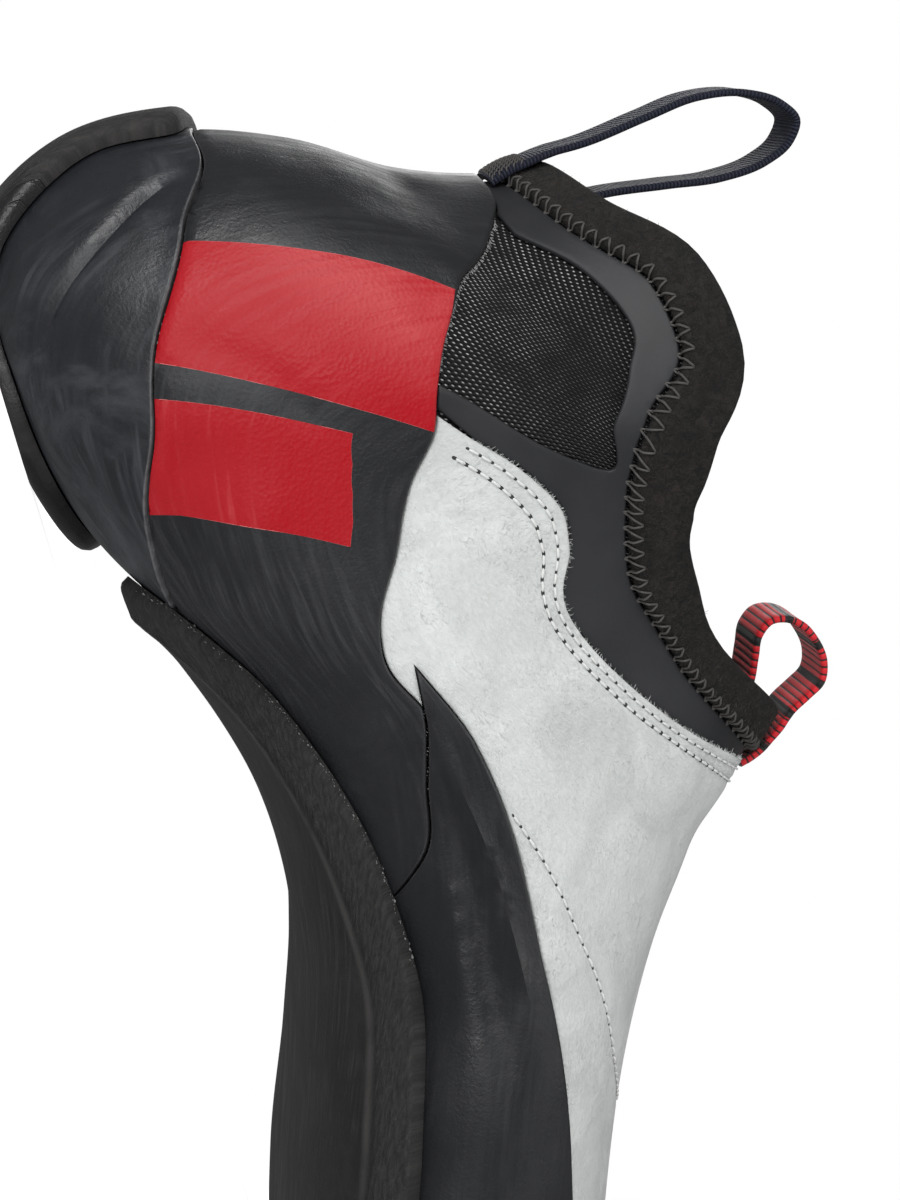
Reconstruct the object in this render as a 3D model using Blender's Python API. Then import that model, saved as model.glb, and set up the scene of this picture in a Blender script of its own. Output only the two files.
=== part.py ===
"""A climbing shoe for the right foot: a slipper of knitted fabric, suede and rubber on a downturned last.

X runs from heel to toe, Y to the left, which is the inner side of this shoe, and Z up.
The origin is the middle of the flat spot that the heel rests on.

Every piece is a wall over the same last. A place on the last has two shares: along, from the tip of the
toe (0) over the sole and up the back of the heel (1), and around, from the middle of the sole or of the
heel's back (0) to the middle of the instep (0.5, outer side positive, inner side negative).
"""

from math import pi, radians

import bmesh
import bpy
import numpy as np
from mathutils import Vector
from mathutils.geometry import delaunay_2d_cdt

# The last
LAST_LENGTH = 0.240
BALL_WIDTH = 0.090
INSTEP_HEIGHT = 0.080
HEEL_HEIGHT = 0.088
TOE_ROUND = 0.030

# Walls
UPPER_WALL = 0.0020
RUBBER_WALL = 0.0020
SUEDE_WALL = 0.0012
FILM_WALL = 0.0006
BINDING_WALL = 0.0020
INSOLE_WALL = 0.0012
OUTSOLE_WALL = 0.0040
PATCH_WALL = 0.0032
CLEARANCE = 0.0003

# Edges
BINDING_WIDTH = 0.0060
BINDING_LIP = 0.0015
SOLE_BEVEL = 0.0045
SOLE_EDGE = 0.0018
SOLE_FADE = (0.33, 0.42)
PATCH_BEVEL = 0.0012
PATCH_EDGE = 0.0020

# Where the shoe stands: how far along the last each flat spot lies, and how deep it is pressed
HEEL_REST = 0.11
REST_DEPTH = 0.0018

# Pull loops: the ribbon, how high each loop stands over the collar and how far down it is sewn
RIBBON_WIDTH = 0.0110
RIBBON_WALL = 0.0014
HEEL_LOOP_RISE = 0.0390
FRONT_LOOP_RISE = 0.0150
LOOP_SEWN = 0.0085
LOOP_SLACK = 0.0009

# How finely the last is divided
TOE_ROWS = 3
TOE_SHARE = 0.045
TOE_CLOSING = 1.5
BODY_ROWS = 26
RING = 20
HALF_RING = 121
LOOP_RUN = 5
SHARP_ANGLE = radians(35)

# Steps, in shares of the last, over which its directions and its scale are measured
NORMAL_STEP = 0.004
SCALE_STEP = 0.002

# Limits that keep thin triangles and sharp corners tame
NOTHING = 1e-9
LEAST_SCALE = 1e-4
LEAST_TURN = 0.25
CUT_TOLERANCE = 1e-4
WELD_DISTANCE = 1e-6
PLACE_DIGITS = 7
MILLIMETRES = 1000

# How far from the last each face lies
SKIN = UPPER_WALL + CLEARANCE
RUBBER_FACE = SKIN + RUBBER_WALL
SUEDE_FACE = SKIN + SUEDE_WALL
FILM_FACE = SKIN + FILM_WALL
BINDING_FACE = SKIN + BINDING_WALL
SOLE_BACK = RUBBER_FACE + CLEARANCE
SOLE_FACE = SOLE_BACK + OUTSOLE_WALL
PATCH_FACE = SOLE_BACK + PATCH_WALL

# Sections of the last. Each stands between a point under the foot or behind the heel (sole) and one on
# the instep (top). x is a share of the last's length, sole_z of the heel's height, top_z of the instep's,
# and shift, inner and outer are shares of the ball's width. level is where the section is widest, and
# low and high say how square it is below and above that.
SECTION_COLUMNS = ("sole_x", "sole_z", "top_x", "top_z", "shift", "inner", "outer", "level", "low", "high")
SECTIONS = (
    (1.000, 0.040, 1.000, 0.300, 0.240, 0.250, 0.290, 0.45, 2.4, 2.4),
    (0.960, 0.005, 0.950, 0.380, 0.210, 0.300, 0.370, 0.42, 2.7, 2.3),
    (0.900, 0.000, 0.880, 0.440, 0.150, 0.365, 0.430, 0.38, 3.0, 2.2),
    (0.800, 0.010, 0.775, 0.510, 0.070, 0.435, 0.490, 0.34, 3.0, 2.1),
    (0.700, 0.076, 0.690, 0.585, 0.020, 0.450, 0.490, 0.34, 3.0, 2.0),
    (0.600, 0.168, 0.620, 0.675, 0.000, 0.400, 0.450, 0.36, 2.7, 1.9),
    (0.500, 0.242, 0.560, 0.785, 0.000, 0.330, 0.400, 0.38, 2.4, 1.9),
    (0.400, 0.243, 0.515, 0.900, 0.000, 0.290, 0.370, 0.40, 2.3, 1.9),
    (0.300, 0.170, 0.485, 1.000, 0.000, 0.290, 0.360, 0.40, 2.2, 1.9),
    (0.200, 0.035, 0.462, 1.080, 0.000, 0.320, 0.360, 0.38, 2.6, 1.9),
    (0.120, 0.000, 0.445, 1.140, 0.000, 0.350, 0.355, 0.36, 3.2, 1.9),
    (0.050, 0.025, 0.432, 1.190, 0.000, 0.360, 0.350, 0.36, 2.6, 1.9),
    (0.020, 0.155, 0.424, 1.230, 0.000, 0.350, 0.345, 0.38, 2.0, 1.9),
    (0.020, 0.309, 0.418, 1.260, 0.000, 0.330, 0.335, 0.42, 2.0, 1.9),
    (0.040, 0.473, 0.413, 1.290, 0.000, 0.320, 0.330, 0.48, 1.9, 1.9),
    (0.075, 0.636, 0.409, 1.320, 0.000, 0.320, 0.335, 0.52, 1.8, 1.9),
    (0.095, 0.809, 0.405, 1.350, 0.000, 0.325, 0.340, 0.54, 1.8, 1.9),
    (0.094, 0.991, 0.402, 1.380, 0.000, 0.325, 0.345, 0.54, 1.8, 1.9),
    (0.088, 1.173, 0.400, 1.410, 0.000, 0.320, 0.340, 0.54, 1.8, 1.9),
)

# Edges of the pieces, on the outer side: each is a smooth curve through its rows (along, around)
EDGES = {
    "collar": (
        (0.925, 0.000), (0.933, 0.070), (0.951, 0.130), (0.942, 0.190), (0.885, 0.245), (0.815, 0.305),
        (0.735, 0.365), (0.655, 0.435), (0.615, 0.500),
    ),
    "band_front": (
        (0.898, 0.000), (0.893, 0.045), (0.877, 0.075), (0.819, 0.139), (0.788, 0.171), (0.742, 0.211),
        (0.719, 0.229), (0.690, 0.239), (0.640, 0.237), (0.580, 0.214), (0.545, 0.206), (0.523, 0.211),
    ),
    "band_sole": (
        (0.523, 0.211), (0.465, 0.194), (0.419, 0.184), (0.390, 0.150), (0.400, 0.080), (0.404, 0.000),
    ),
    "cup": (
        (0.775, 0.000), (0.765, 0.045), (0.735, 0.082), (0.700, 0.113), (0.660, 0.124), (0.610, 0.113),
        (0.550, 0.082), (0.522, 0.048), (0.512, 0.000),
    ),
    "rand_top": (
        (0.060, 0.500), (0.076, 0.415), (0.180, 0.328), (0.300, 0.290), (0.385, 0.257), (0.470, 0.239),
        (0.562, 0.225),
    ),
    "suede_top": (
        (0.731, 0.240), (0.733, 0.262), (0.728, 0.290), (0.706, 0.314), (0.645, 0.330), (0.580, 0.400),
        (0.545, 0.500),
    ),
    "window": (
        (0.752, 0.218), (0.761, 0.260), (0.777, 0.279), (0.827, 0.240), (0.878, 0.191), (0.903, 0.156),
        (0.903, 0.108), (0.888, 0.075),
    ),
}

# Closed outlines under the foot, given all the way round (along, around)
OUTLINES = {
    "opening": (
        (0.045, 0.000), (0.065, 0.090), (0.130, 0.138), (0.240, 0.142), (0.330, 0.105), (0.370, 0.020),
        (0.330, -0.070), (0.240, -0.128), (0.130, -0.136), (0.065, -0.090),
    ),
    "outsole": (
        (0.014, 0.000), (0.018, 0.100), (0.042, 0.170), (0.100, 0.196), (0.200, 0.205), (0.290, 0.203),
        (0.350, 0.190), (0.404, 0.162), (0.470, 0.126), (0.520, 0.100), (0.552, 0.074), (0.557, 0.050),
        (0.540, 0.020), (0.512, -0.022), (0.477, -0.052), (0.423, -0.078), (0.340, -0.125), (0.260, -0.172),
        (0.180, -0.194), (0.100, -0.190), (0.042, -0.165), (0.018, -0.100),
    ),
    "patch": (
        (0.768, 0.012), (0.735, 0.014), (0.700, 0.027), (0.660, 0.037), (0.625, 0.044), (0.590, 0.026),
        (0.565, -0.004), (0.562, -0.045), (0.580, -0.085), (0.640, -0.102), (0.720, -0.090),
        (0.765, -0.060), (0.774, -0.020),
    ),
    "insole": (
        (0.030, 0.000), (0.045, 0.100), (0.100, 0.158), (0.210, 0.175), (0.320, 0.155), (0.500, 0.095),
        (0.650, 0.100), (0.720, 0.065), (0.737, 0.000), (0.720, -0.065), (0.650, -0.100), (0.500, -0.090),
        (0.320, -0.145), (0.210, -0.170), (0.100, -0.156), (0.045, -0.100),
    ),
}

# A pull loop seen from the side (rise, out): rise is a share of its height above the collar's edge, and
# out is 1 over the run sewn outside the collar and 0 over the run sewn inside it
LOOP_SHAPE = (
    (0.20, 0.95), (0.45, 1.03), (0.65, 1.08), (0.84, 0.86), (0.96, 0.46), (1.00, 0.10), (0.95, -0.25),
    (0.84, -0.46), (0.66, -0.48), (0.45, -0.28), (0.20, -0.05),
)

# Colours and finishes, name: (colour, roughness, metallic)
FINISHES = {
    "charcoal rubber": ((0.045, 0.047, 0.052), 0.50, 0.0),
    "black rubber": ((0.022, 0.022, 0.024), 0.70, 0.0),
    "pale suede": ((0.620, 0.640, 0.660), 0.90, 0.0),
    "black knit": ((0.018, 0.019, 0.021), 0.80, 0.0),
    "grey film": ((0.050, 0.052, 0.056), 0.45, 0.0),
    "dark felt": ((0.030, 0.028, 0.028), 0.95, 0.0),
    "ribbon": ((0.020, 0.024, 0.034), 0.75, 0.0),
    "red ribbon": ((0.350, 0.012, 0.020), 0.70, 0.0),
    "insole fabric": ((0.140, 0.140, 0.145), 0.90, 0.0),
}


def hermite(knots, values, at):
    """Values at the places at, on a smooth curve through the knots."""
    slopes = np.gradient(values, knots, axis=0)
    i = np.clip(np.searchsorted(knots, at, side="right") - 1, 0, len(knots) - 2)
    width = (knots[i + 1] - knots[i])[:, None]
    t = (at - knots[i])[:, None] / width
    start = (2 * t**3 - 3 * t**2 + 1) * values[i] + (t**3 - 2 * t**2 + t) * width * slopes[i]
    end = (3 * t**2 - 2 * t**3) * values[i + 1] + (t**3 - t**2) * width * slopes[i + 1]
    return start + end


def sections():
    """The table's rows in metres, and how far each lies along the middle of the sole and heel."""
    row = dict(zip(SECTION_COLUMNS, np.array(SECTIONS).T))
    rubber = PATCH_FACE + (SOLE_FACE - PATCH_FACE) * row["sole_x"] - REST_DEPTH
    row["sole_z"] = row["sole_z"] * HEEL_HEIGHT + rubber
    row["top_z"] = row["top_z"] * INSTEP_HEIGHT + rubber
    for name in ("sole_x", "top_x"):
        row[name] = (row[name] - HEEL_REST) * LAST_LENGTH
    for name in ("shift", "inner", "outer"):
        row[name] = row[name] * BALL_WIDTH
    steps = np.hypot(np.diff(row["sole_x"]), np.diff(row["sole_z"]))
    return np.concatenate([[0], np.cumsum(steps)]), np.stack([row[name] for name in SECTION_COLUMNS], 1)


def half_ring(wide, level, low, high):
    """One side of a section from sole to top: how far out it lies, and how high as a share."""
    angle = np.linspace(0, pi, HALF_RING)
    power = np.where(angle < pi / 2, 2 / low, 2 / high)
    reach = np.where(angle < pi / 2, level, 1 - level)
    across = wide * np.abs(np.sin(angle)) ** power
    up = level - np.sign(np.cos(angle)) * reach * np.abs(np.cos(angle)) ** power
    return across, up


def last(along, around):
    """Points of the last's surface, one row for each section in along."""
    knots, rows = sections()
    at = np.clip(along, 0, 1) * knots[-1]
    points = np.zeros((len(at), len(around), 3))
    for i, row in enumerate(hermite(knots, rows, at)):
        sole_x, sole_z, top_x, top_z, shift, inner, outer, level, low, high = row
        height = np.hypot(top_x - sole_x, top_z - sole_z)
        round_end = 1 - min(at[i] / TOE_ROUND, 1)
        cap = max(0.0, 1 - round_end**2) ** 0.5
        across = np.zeros(len(around))
        up = np.zeros(len(around))
        for side, wide in ((1, outer), (-1, inner)):
            ring_across, ring_up = half_ring(wide, level, low, high)
            steps = np.hypot(np.diff(ring_across), np.diff(ring_up) * height)
            arc = np.concatenate([[0], np.cumsum(steps)])
            here = around * side >= 0
            share = np.abs(around[here]) * 2
            across[here] = side * np.interp(share, arc / arc[-1], ring_across)
            up[here] = np.interp(share, arc / arc[-1], ring_up)
        up = level + (up - level) * cap
        points[i, :, 0] = sole_x + (top_x - sole_x) * up
        points[i, :, 1] = shift - across * cap
        points[i, :, 2] = sole_z + (top_z - sole_z) * up
    return points


def normals(along, around, step=NORMAL_STEP):
    """Outward directions of the last's surface at the same places."""
    ahead = last(np.minimum(along + step, 1), around) - last(np.maximum(along - step, 0), around)
    aside = last(along, np.minimum(around + step, 0.5)) - last(along, np.maximum(around - step, -0.5))
    across = np.cross(ahead, aside)
    across[0] = across[1].mean(0)
    across[:, 0] = across[:, -1] = (across[:, 0] + across[:, -1]) / 2
    return across / np.linalg.norm(across, axis=-1, keepdims=True)


class Lattice:
    """The last divided into flat triangles, which every wall follows so that the walls stay parallel."""

    def __init__(self):
        toe = TOE_SHARE * (np.arange(TOE_ROWS) / TOE_ROWS) ** TOE_CLOSING
        self.along = np.concatenate([toe, np.linspace(TOE_SHARE, 1, BODY_ROWS)])
        self.around = np.linspace(-0.5, 0.5, RING + 1)
        self.points = last(self.along, self.around)
        self.normals = normals(self.along, self.around)
        centre = self.points.mean(1, keepdims=True)
        if ((self.points - centre) * self.normals).sum() < 0:
            self.normals = -self.normals
        self.length = np.linalg.norm(np.diff(self.points[:, RING // 2], axis=0), axis=-1).sum()
        rings = np.linalg.norm(np.diff(self.points, axis=1), axis=-1).sum(1)
        self.girth = rings.mean()

    def flat(self, places):
        """Places on the last laid out flat, roughly in metres."""
        return np.asarray(places) * (self.length, self.girth)

    def edges(self):
        """Node pairs joined by the lattice's lines and by one diagonal in each cell."""
        rows, ring = len(self.along), len(self.around)
        number = np.arange(rows * ring).reshape(rows, ring)
        pairs = [(number[:-1].ravel(), number[1:].ravel()), (number[:, :-1].ravel(), number[:, 1:].ravel())]
        left = RING // 2
        pairs.append((number[:-1, left:-1].ravel(), number[1:, left + 1:].ravel()))
        pairs.append((number[:-1, 1:left + 1].ravel(), number[1:, :left].ravel()))
        return [(int(a), int(b)) for first, second in pairs for a, b in zip(first, second)]

    def place(self, places, offset):
        """Points at the offset from the last, on the lattice's triangles and never under the floor."""
        along, around = np.asarray(places, float).T
        i = np.clip(np.searchsorted(self.along, along, side="right") - 1, 0, len(self.along) - 2)
        j = np.clip(np.searchsorted(self.around, around, side="right") - 1, 0, RING - 1)
        s = ((along - self.along[i]) / (self.along[i + 1] - self.along[i]))[:, None]
        t = ((around - self.around[j]) / (self.around[j + 1] - self.around[j]))[:, None]
        outer = (j >= RING // 2)[:, None]
        found = []
        for nodes in (self.points, self.normals):
            a, b, c, d = nodes[i, j], nodes[i + 1, j], nodes[i, j + 1], nodes[i + 1, j + 1]
            rising = np.where(s >= t, a + s * (b - a) + t * (d - b), a + t * (c - a) + s * (d - c))
            near = a + s * (b - a) + t * (c - a)
            far = d + (1 - s) * (c - d) + (1 - t) * (b - d)
            found.append(np.where(outer, rising, np.where(s + t <= 1, near, far)))
        points = found[0] + found[1] * np.broadcast_to(offset, len(along))[:, None]
        points[:, 2] = np.maximum(points[:, 2], 0)
        return points


LATTICE = Lattice()


def smooth(rows, closed=False, samples=2):
    """A smooth curve through the rows, as places (along, around)."""
    rows = np.array(rows, float)
    if closed:
        rows = np.concatenate([rows[-3:], rows, rows[:4]])
    flat = LATTICE.flat(rows)
    knots = np.concatenate([[0], np.cumsum(np.linalg.norm(np.diff(flat, axis=0), axis=-1))])
    first, final = (3, len(rows) - 4) if closed else (0, len(rows) - 1)
    spans = [np.linspace(knots[i], knots[i + 1], samples, endpoint=False) for i in range(first, final)]
    at = np.concatenate(spans if closed else spans + [knots[final:final + 1]])
    return hermite(knots, rows, at)


def mirrored(curve):
    """The same curve on the inner side, in the opposite direction."""
    return (curve * (1, -1))[::-1]


def edge(name):
    return smooth(EDGES[name])


def whole(curve):
    """A curve that runs from the middle of the sole or heel to the instep, on both sides, inner first."""
    return np.concatenate([mirrored(curve), curve[1:]])


def stretch(curve, high, low):
    """The part of a curve whose places along the last lie between two values."""
    return curve[(curve[:, 0] <= high) & (curve[:, 0] >= low)]


def scale_at(places, step=SCALE_STEP):
    """Metres for one whole share, along and around, at each place."""
    along, around = np.asarray(places).T
    low = np.stack([np.clip(along - step, 0, 1), around], 1)
    high = np.stack([np.clip(along + step, 0, 1), around], 1)
    left = np.stack([along, np.clip(around - step, -0.5, 0.5)], 1)
    right = np.stack([along, np.clip(around + step, -0.5, 0.5)], 1)
    by_along = np.linalg.norm(LATTICE.place(high, 0) - LATTICE.place(low, 0), axis=-1)
    by_around = np.linalg.norm(LATTICE.place(right, 0) - LATTICE.place(left, 0), axis=-1)
    return np.stack([by_along / (high - low)[:, 0], by_around / (right - left)[:, 1]], 1)


def on_seam(place):
    """Whether a place lies on the instep's middle, where both sides of the last meet."""
    return abs(abs(place[1]) - 0.5) < NOTHING


def at_tip(place):
    return place[0] < NOTHING


def shifted(curve, distance, closed=False):
    """The curve moved to its left by a real distance. What lies on the instep's middle slides along it."""
    scale = np.maximum(scale_at(curve), LEAST_SCALE)
    before, after = np.roll(curve, 1, axis=0), np.roll(curve, -1, axis=0)
    if not closed:
        before[0], after[-1] = curve[0], curve[-1]
    moved = curve.copy()
    for i, (old, here, new) in enumerate(zip(before, curve, after)):
        sides = []
        for start, stop in ((old, here), (here, new)):
            way = (stop - start) * scale[i]
            size = np.linalg.norm(way)
            border = (on_seam(start) and on_seam(stop)) or (at_tip(start) and at_tip(stop))
            if size > NOTHING and not border:
                sides.append(np.array([-way[1], way[0]]) / size)
        if not sides or at_tip(here):
            continue
        side = np.mean(sides, axis=0)
        side = side / max(side @ side, LEAST_TURN)
        if on_seam(here):
            side = np.array([np.sign(side[0]), 0.0])
        moved[i] = here + side * distance / scale[i]
    moved[:, 1] = np.clip(moved[:, 1], -0.5, 0.5)
    return moved if closed else unfolded(moved, curve)


def unfolded(moved, curve):
    """A moved curve without the places where a tight bend turned it back on itself."""
    kept = [moved[0]]
    for here, way in zip(moved[1:], np.diff(curve, axis=0)):
        if (here - kept[-1]) @ way > 0:
            kept.append(here)
    return np.array(kept)


def area(loop):
    along, around = loop.T
    return (along * np.roll(around, -1) - np.roll(along, -1) * around).sum() / 2


def inset(loop, distance):
    """A closed outline made smaller all round, but not across the instep's middle."""
    return shifted(loop, distance if area(loop) > 0 else -distance, closed=True)


def inside(places, loops):
    """Which places lie inside an odd number of the closed outlines."""
    along, around = places.T
    hits = np.zeros(len(places), int)
    for loop in loops:
        for (a0, r0), (a1, r1) in zip(loop, np.roll(loop, -1, axis=0)):
            crosses = (r0 > around) != (r1 > around)
            if r0 != r1:
                hits += crosses & (along < a0 + (around - r0) * (a1 - a0) / (r1 - r0))
    return hits % 2 == 1


def distance_to(places, loops):
    """Real distance, measured flat, from each place to the nearest outline."""
    places = LATTICE.flat(places)
    nearest = np.full(len(places), np.inf)
    for loop in loops:
        loop = LATTICE.flat(loop)
        for start, stop in zip(loop, np.roll(loop, -1, axis=0)):
            way = stop - start
            share = np.clip((places - start) @ way / max(way @ way, NOTHING**2), 0, 1)
            nearest = np.minimum(nearest, np.linalg.norm(places - start - share[:, None] * way, axis=-1))
    return nearest


def cut(loops, lines=()):
    """Triangles of the lattice inside the outlines, with further closed lines cut into them."""
    nodes = [(a, r) for a in LATTICE.along for r in LATTICE.around]
    pairs = LATTICE.edges()
    for loop in list(loops) + list(lines):
        first = len(nodes)
        nodes.extend(map(tuple, loop))
        count = len(loop)
        pairs.extend((first + i, first + (i + 1) % count) for i in range(count))
    flat = [Vector(place) for place in LATTICE.flat(nodes) * MILLIMETRES]
    points, _, faces = delaunay_2d_cdt(flat, pairs, [], 0, CUT_TOLERANCE, False)[:3]
    places = np.array([tuple(point) for point in points]) / MILLIMETRES / (LATTICE.length, LATTICE.girth)
    places[:, 0] = np.clip(np.round(places[:, 0], PLACE_DIGITS), 0, 1)
    places[:, 1] = np.clip(np.round(places[:, 1], PLACE_DIGITS), -0.5, 0.5)
    faces = np.array([tuple(face) for face in faces])
    return places, faces[inside(places[faces].mean(1), loops)]


def material(name):
    """A plain material of the given finish."""
    colour, roughness, metallic = FINISHES[name]
    made = bpy.data.materials.get(name) or bpy.data.materials.new(name)
    made.use_nodes = True
    made.diffuse_color = (*colour, 1)
    shader = made.node_tree.nodes["Principled BSDF"]
    shader.inputs["Base Color"].default_value = (*colour, 1)
    shader.inputs["Roughness"].default_value = roughness
    shader.inputs["Metallic"].default_value = metallic
    return made


def add_object(shape, name, finish, collection):
    """Turn a finished bmesh into a smooth-shaded object."""
    bmesh.ops.remove_doubles(shape, verts=shape.verts, dist=WELD_DISTANCE)
    bmesh.ops.recalc_face_normals(shape, faces=shape.faces)
    mesh = bpy.data.meshes.new(name)
    shape.to_mesh(mesh)
    shape.free()
    mesh.shade_smooth()
    mesh.set_sharp_from_angle(angle=SHARP_ANGLE)
    mesh.materials.append(material(finish))
    made = bpy.data.objects.new(name, mesh)
    collection.objects.link(made)
    return made


def wall(loops, inner, outer, step=None, bevel=None):
    """A closed wall over the part of the last inside the outlines, from one offset to another.

    step gives outlines inside which the inner face lies at another offset, and that offset.
    bevel gives the wall left at the rim, the width of the slope down to it, and the two places along the
    last where the slope begins and where it is whole.
    """
    step_loops, step_inner = step or ([], inner)
    lines = list(step_loops)
    if bevel:
        lines += [inset(loop, bevel[1]) for loop in loops]
    places, faces = cut(loops, lines)
    face_offset = np.where(inside(places[faces].mean(1), step_loops), step_inner, inner)
    top_offset = np.full(len(places), outer)
    if bevel:
        rim_wall, width, fade_from, fade_to = bevel
        fade = np.clip((places[:, 0] - fade_from) / (fade_to - fade_from), 0, 1)
        slope = np.clip(1 - distance_to(places, loops) / width, 0, 1)
        top_offset = outer - (outer - inner - rim_wall) * slope * fade
    shape = bmesh.new()
    used = np.unique(faces)
    tops = dict(zip(used, map(shape.verts.new, LATTICE.place(places[used], top_offset[used]))))
    bottoms = {}
    for offset in np.unique(face_offset):
        nodes = np.unique(faces[face_offset == offset])
        points = LATTICE.place(places[nodes], offset)
        bottoms.update({(node, offset): shape.verts.new(point) for node, point in zip(nodes, points)})
    sides = {}
    for face, offset in zip(faces, face_offset):
        shape.faces.new([tops[node] for node in face])
        shape.faces.new([bottoms[node, offset] for node in face[::-1]])
        for a, b in zip(face, np.roll(face, -1)):
            sides.setdefault((min(a, b), max(a, b)), []).append(offset)
    for (a, b), offsets in sides.items():
        border = all(on_seam(places[n]) for n in (a, b)) or all(at_tip(places[n]) for n in (a, b))
        if len(offsets) == 1 and not border:
            shape.faces.new((tops[a], tops[b], bottoms[b, offsets[0]], bottoms[a, offsets[0]]))
        if len(offsets) == 2 and offsets[0] != offsets[1]:
            low, high = offsets
            shape.faces.new((bottoms[a, low], bottoms[b, low], bottoms[b, high], bottoms[a, high]))
    return shape


def ring(chain):
    """A closed outline from its outer side, which starts and ends on the middle of the sole or heel."""
    return np.concatenate([chain, mirrored(chain)[1:-1]])


def over_toe(chain):
    """A closed outline round the tip of the toe, whose rim is the whole curve."""
    return np.concatenate([whole(chain), [(0.0, 0.5), (0.0, -0.5)]])


def strip(low, high):
    """A closed outline between two whole curves."""
    return np.concatenate([low, high[::-1]])


def band_chain():
    return np.concatenate([edge("band_front"), edge("band_sole")[1:]])


def make_upper():
    """The knitted sock: open at the collar, and under the forefoot where the outsole closes it."""
    return wall([over_toe(edge("collar")), opening()], 0, UPPER_WALL)


def opening():
    return smooth(OUTLINES["opening"], closed=True)


def seamed(loop):
    """An outline drawn in by half the gap that two neighbours leave."""
    return inset(loop, CLEARANCE / 2)


def make_front_rand():
    """Rubber over the toe, with a spike back along each side."""
    chain = np.concatenate([edge("rand_top"), edge("band_sole")])[::-1]
    return wall([seamed(over_toe(chain)), opening()], SKIN, RUBBER_FACE)


def make_heel_band():
    """The tensioned rubber band round the heel, which runs on under the arch."""
    hole = inset(ring(edge("cup")), -CLEARANCE / 2)
    return wall([seamed(ring(band_chain())), hole], SKIN, RUBBER_FACE)


def make_heel_cup():
    return wall([seamed(ring(edge("cup")))], SKIN, RUBBER_FACE)


def make_quarter():
    """Suede over the instep and down both sides to the rubber."""
    front = stretch(edge("band_front"), EDGES["suede_top"][0][0], 0)
    half = np.concatenate([front, edge("rand_top")[::-1], edge("suede_top")[::-1]])
    return wall([seamed(half), seamed(half * (1, -1))], SKIN, SUEDE_FACE)


def make_collar_film():
    """The film that frames the bare knit between the suede, the heel band and the collar's binding."""
    band = edge("band_front")
    window = edge("window")
    behind = stretch(band, 1, window[-1][0])
    below = stretch(band, window[0][0], EDGES["suede_top"][0][0])
    low = np.concatenate([behind, window[::-1], below, edge("suede_top")])
    return wall([seamed(strip(whole(low), past_collar(-BINDING_WIDTH)))], SKIN, FILM_FACE)


def past_collar(distance):
    """The collar's edge moved outward by a real distance, or down the shoe where that is negative."""
    return shifted(whole(edge("collar")), -distance)


def make_collar_binding():
    """The felt binding, with a lip that closes over the upper's edge."""
    foot = past_collar(CLEARANCE - BINDING_WIDTH)
    start = past_collar(CLEARANCE)
    stop = past_collar(CLEARANCE + BINDING_LIP)
    return wall([strip(foot, stop)], SKIN, BINDING_FACE, step=([strip(start, stop)], 0))


def make_heel_patch():
    """The thick rubber under the heel, which the shoe rests on."""
    outline = smooth(OUTLINES["patch"], closed=True)
    return wall([outline], SOLE_BACK, PATCH_FACE, bevel=(PATCH_EDGE, PATCH_BEVEL, -1, 0))


def make_outsole():
    """The sole, with a bed that fills the upper's opening and an edge that thins out towards the heel."""
    outline = smooth(OUTLINES["outsole"], closed=True)
    bed = inset(opening(), CLEARANCE)
    slope = (SOLE_EDGE, SOLE_BEVEL, *SOLE_FADE)
    return wall([outline], SOLE_BACK, SOLE_FACE, step=([bed], 0), bevel=slope)


def make_insole():
    outline = smooth(OUTLINES["insole"], closed=True)
    return wall([outline], -CLEARANCE - INSOLE_WALL, -CLEARANCE)


def side_path(around, rise):
    """The middle of a pull loop's ribbon seen from the side, from its outer end to its inner one."""
    collar = EDGES["collar"][0 if around == 0 else -1][0]
    metres_along, metres_around = scale_at([(collar, around)])[0]
    down = np.linspace(collar - LOOP_SEWN / metres_along, collar, LOOP_RUN)
    slack = LOOP_SLACK + RIBBON_WALL / 2
    outer_run = LATTICE.place(np.stack([down, np.full(LOOP_RUN, around)], 1), RUBBER_FACE + slack)
    aside = RIBBON_WIDTH / 2 / metres_around
    flanks = (aside, -aside) if around == 0 else (around - aside, aside - around)
    runs = [LATTICE.place(np.stack([down, np.full(LOOP_RUN, flank)], 1), -slack) for flank in flanks]
    inner_run = max(runs, key=lambda run: np.linalg.norm((run - outer_run)[:, [0, 2]], axis=-1).sum())
    upward = outer_run[-1] - outer_run[-2]
    upward = np.array([upward[0], 0, upward[2]]) / np.hypot(upward[0], upward[2])
    inward = inner_run[-1] - outer_run[-1]
    inward[1] = 0
    inward -= upward * (inward @ upward)
    free = [outer_run[-1] + inward * (1 - out) + upward * share * rise for share, out in LOOP_SHAPE]
    path = np.concatenate([outer_run, free, inner_run[::-1]])[:, [0, 2]]
    knots = np.concatenate([[0], np.cumsum(np.linalg.norm(np.diff(path, axis=0), axis=-1))])
    between = (knots[1:] + knots[:-1]) / 2
    return hermite(knots, path, np.sort(np.concatenate([knots, between]))), outer_run[-1][1]


def make_pull_loop(around, rise):
    """A loop of ribbon sewn outside and inside the collar."""
    path, middle = side_path(around, rise)
    way = np.gradient(path, axis=0)
    side = np.stack([-way[:, 1], way[:, 0]], 1) / np.linalg.norm(way, axis=-1, keepdims=True)
    faces = [path + side * RIBBON_WALL / 2, path - side * RIBBON_WALL / 2]
    shape = bmesh.new()
    stations = []
    for near, far in zip(*faces):
        corners = [(near, -1), (near, 1), (far, 1), (far, -1)]
        stations.append([shape.verts.new((p[0], middle + s * RIBBON_WIDTH / 2, p[1])) for p, s in corners])
    for here, there in zip(stations, stations[1:]):
        for i in range(4):
            shape.faces.new((here[i], here[(i + 1) % 4], there[(i + 1) % 4], there[i]))
    shape.faces.new(stations[0])
    shape.faces.new(stations[-1])
    return shape


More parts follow.
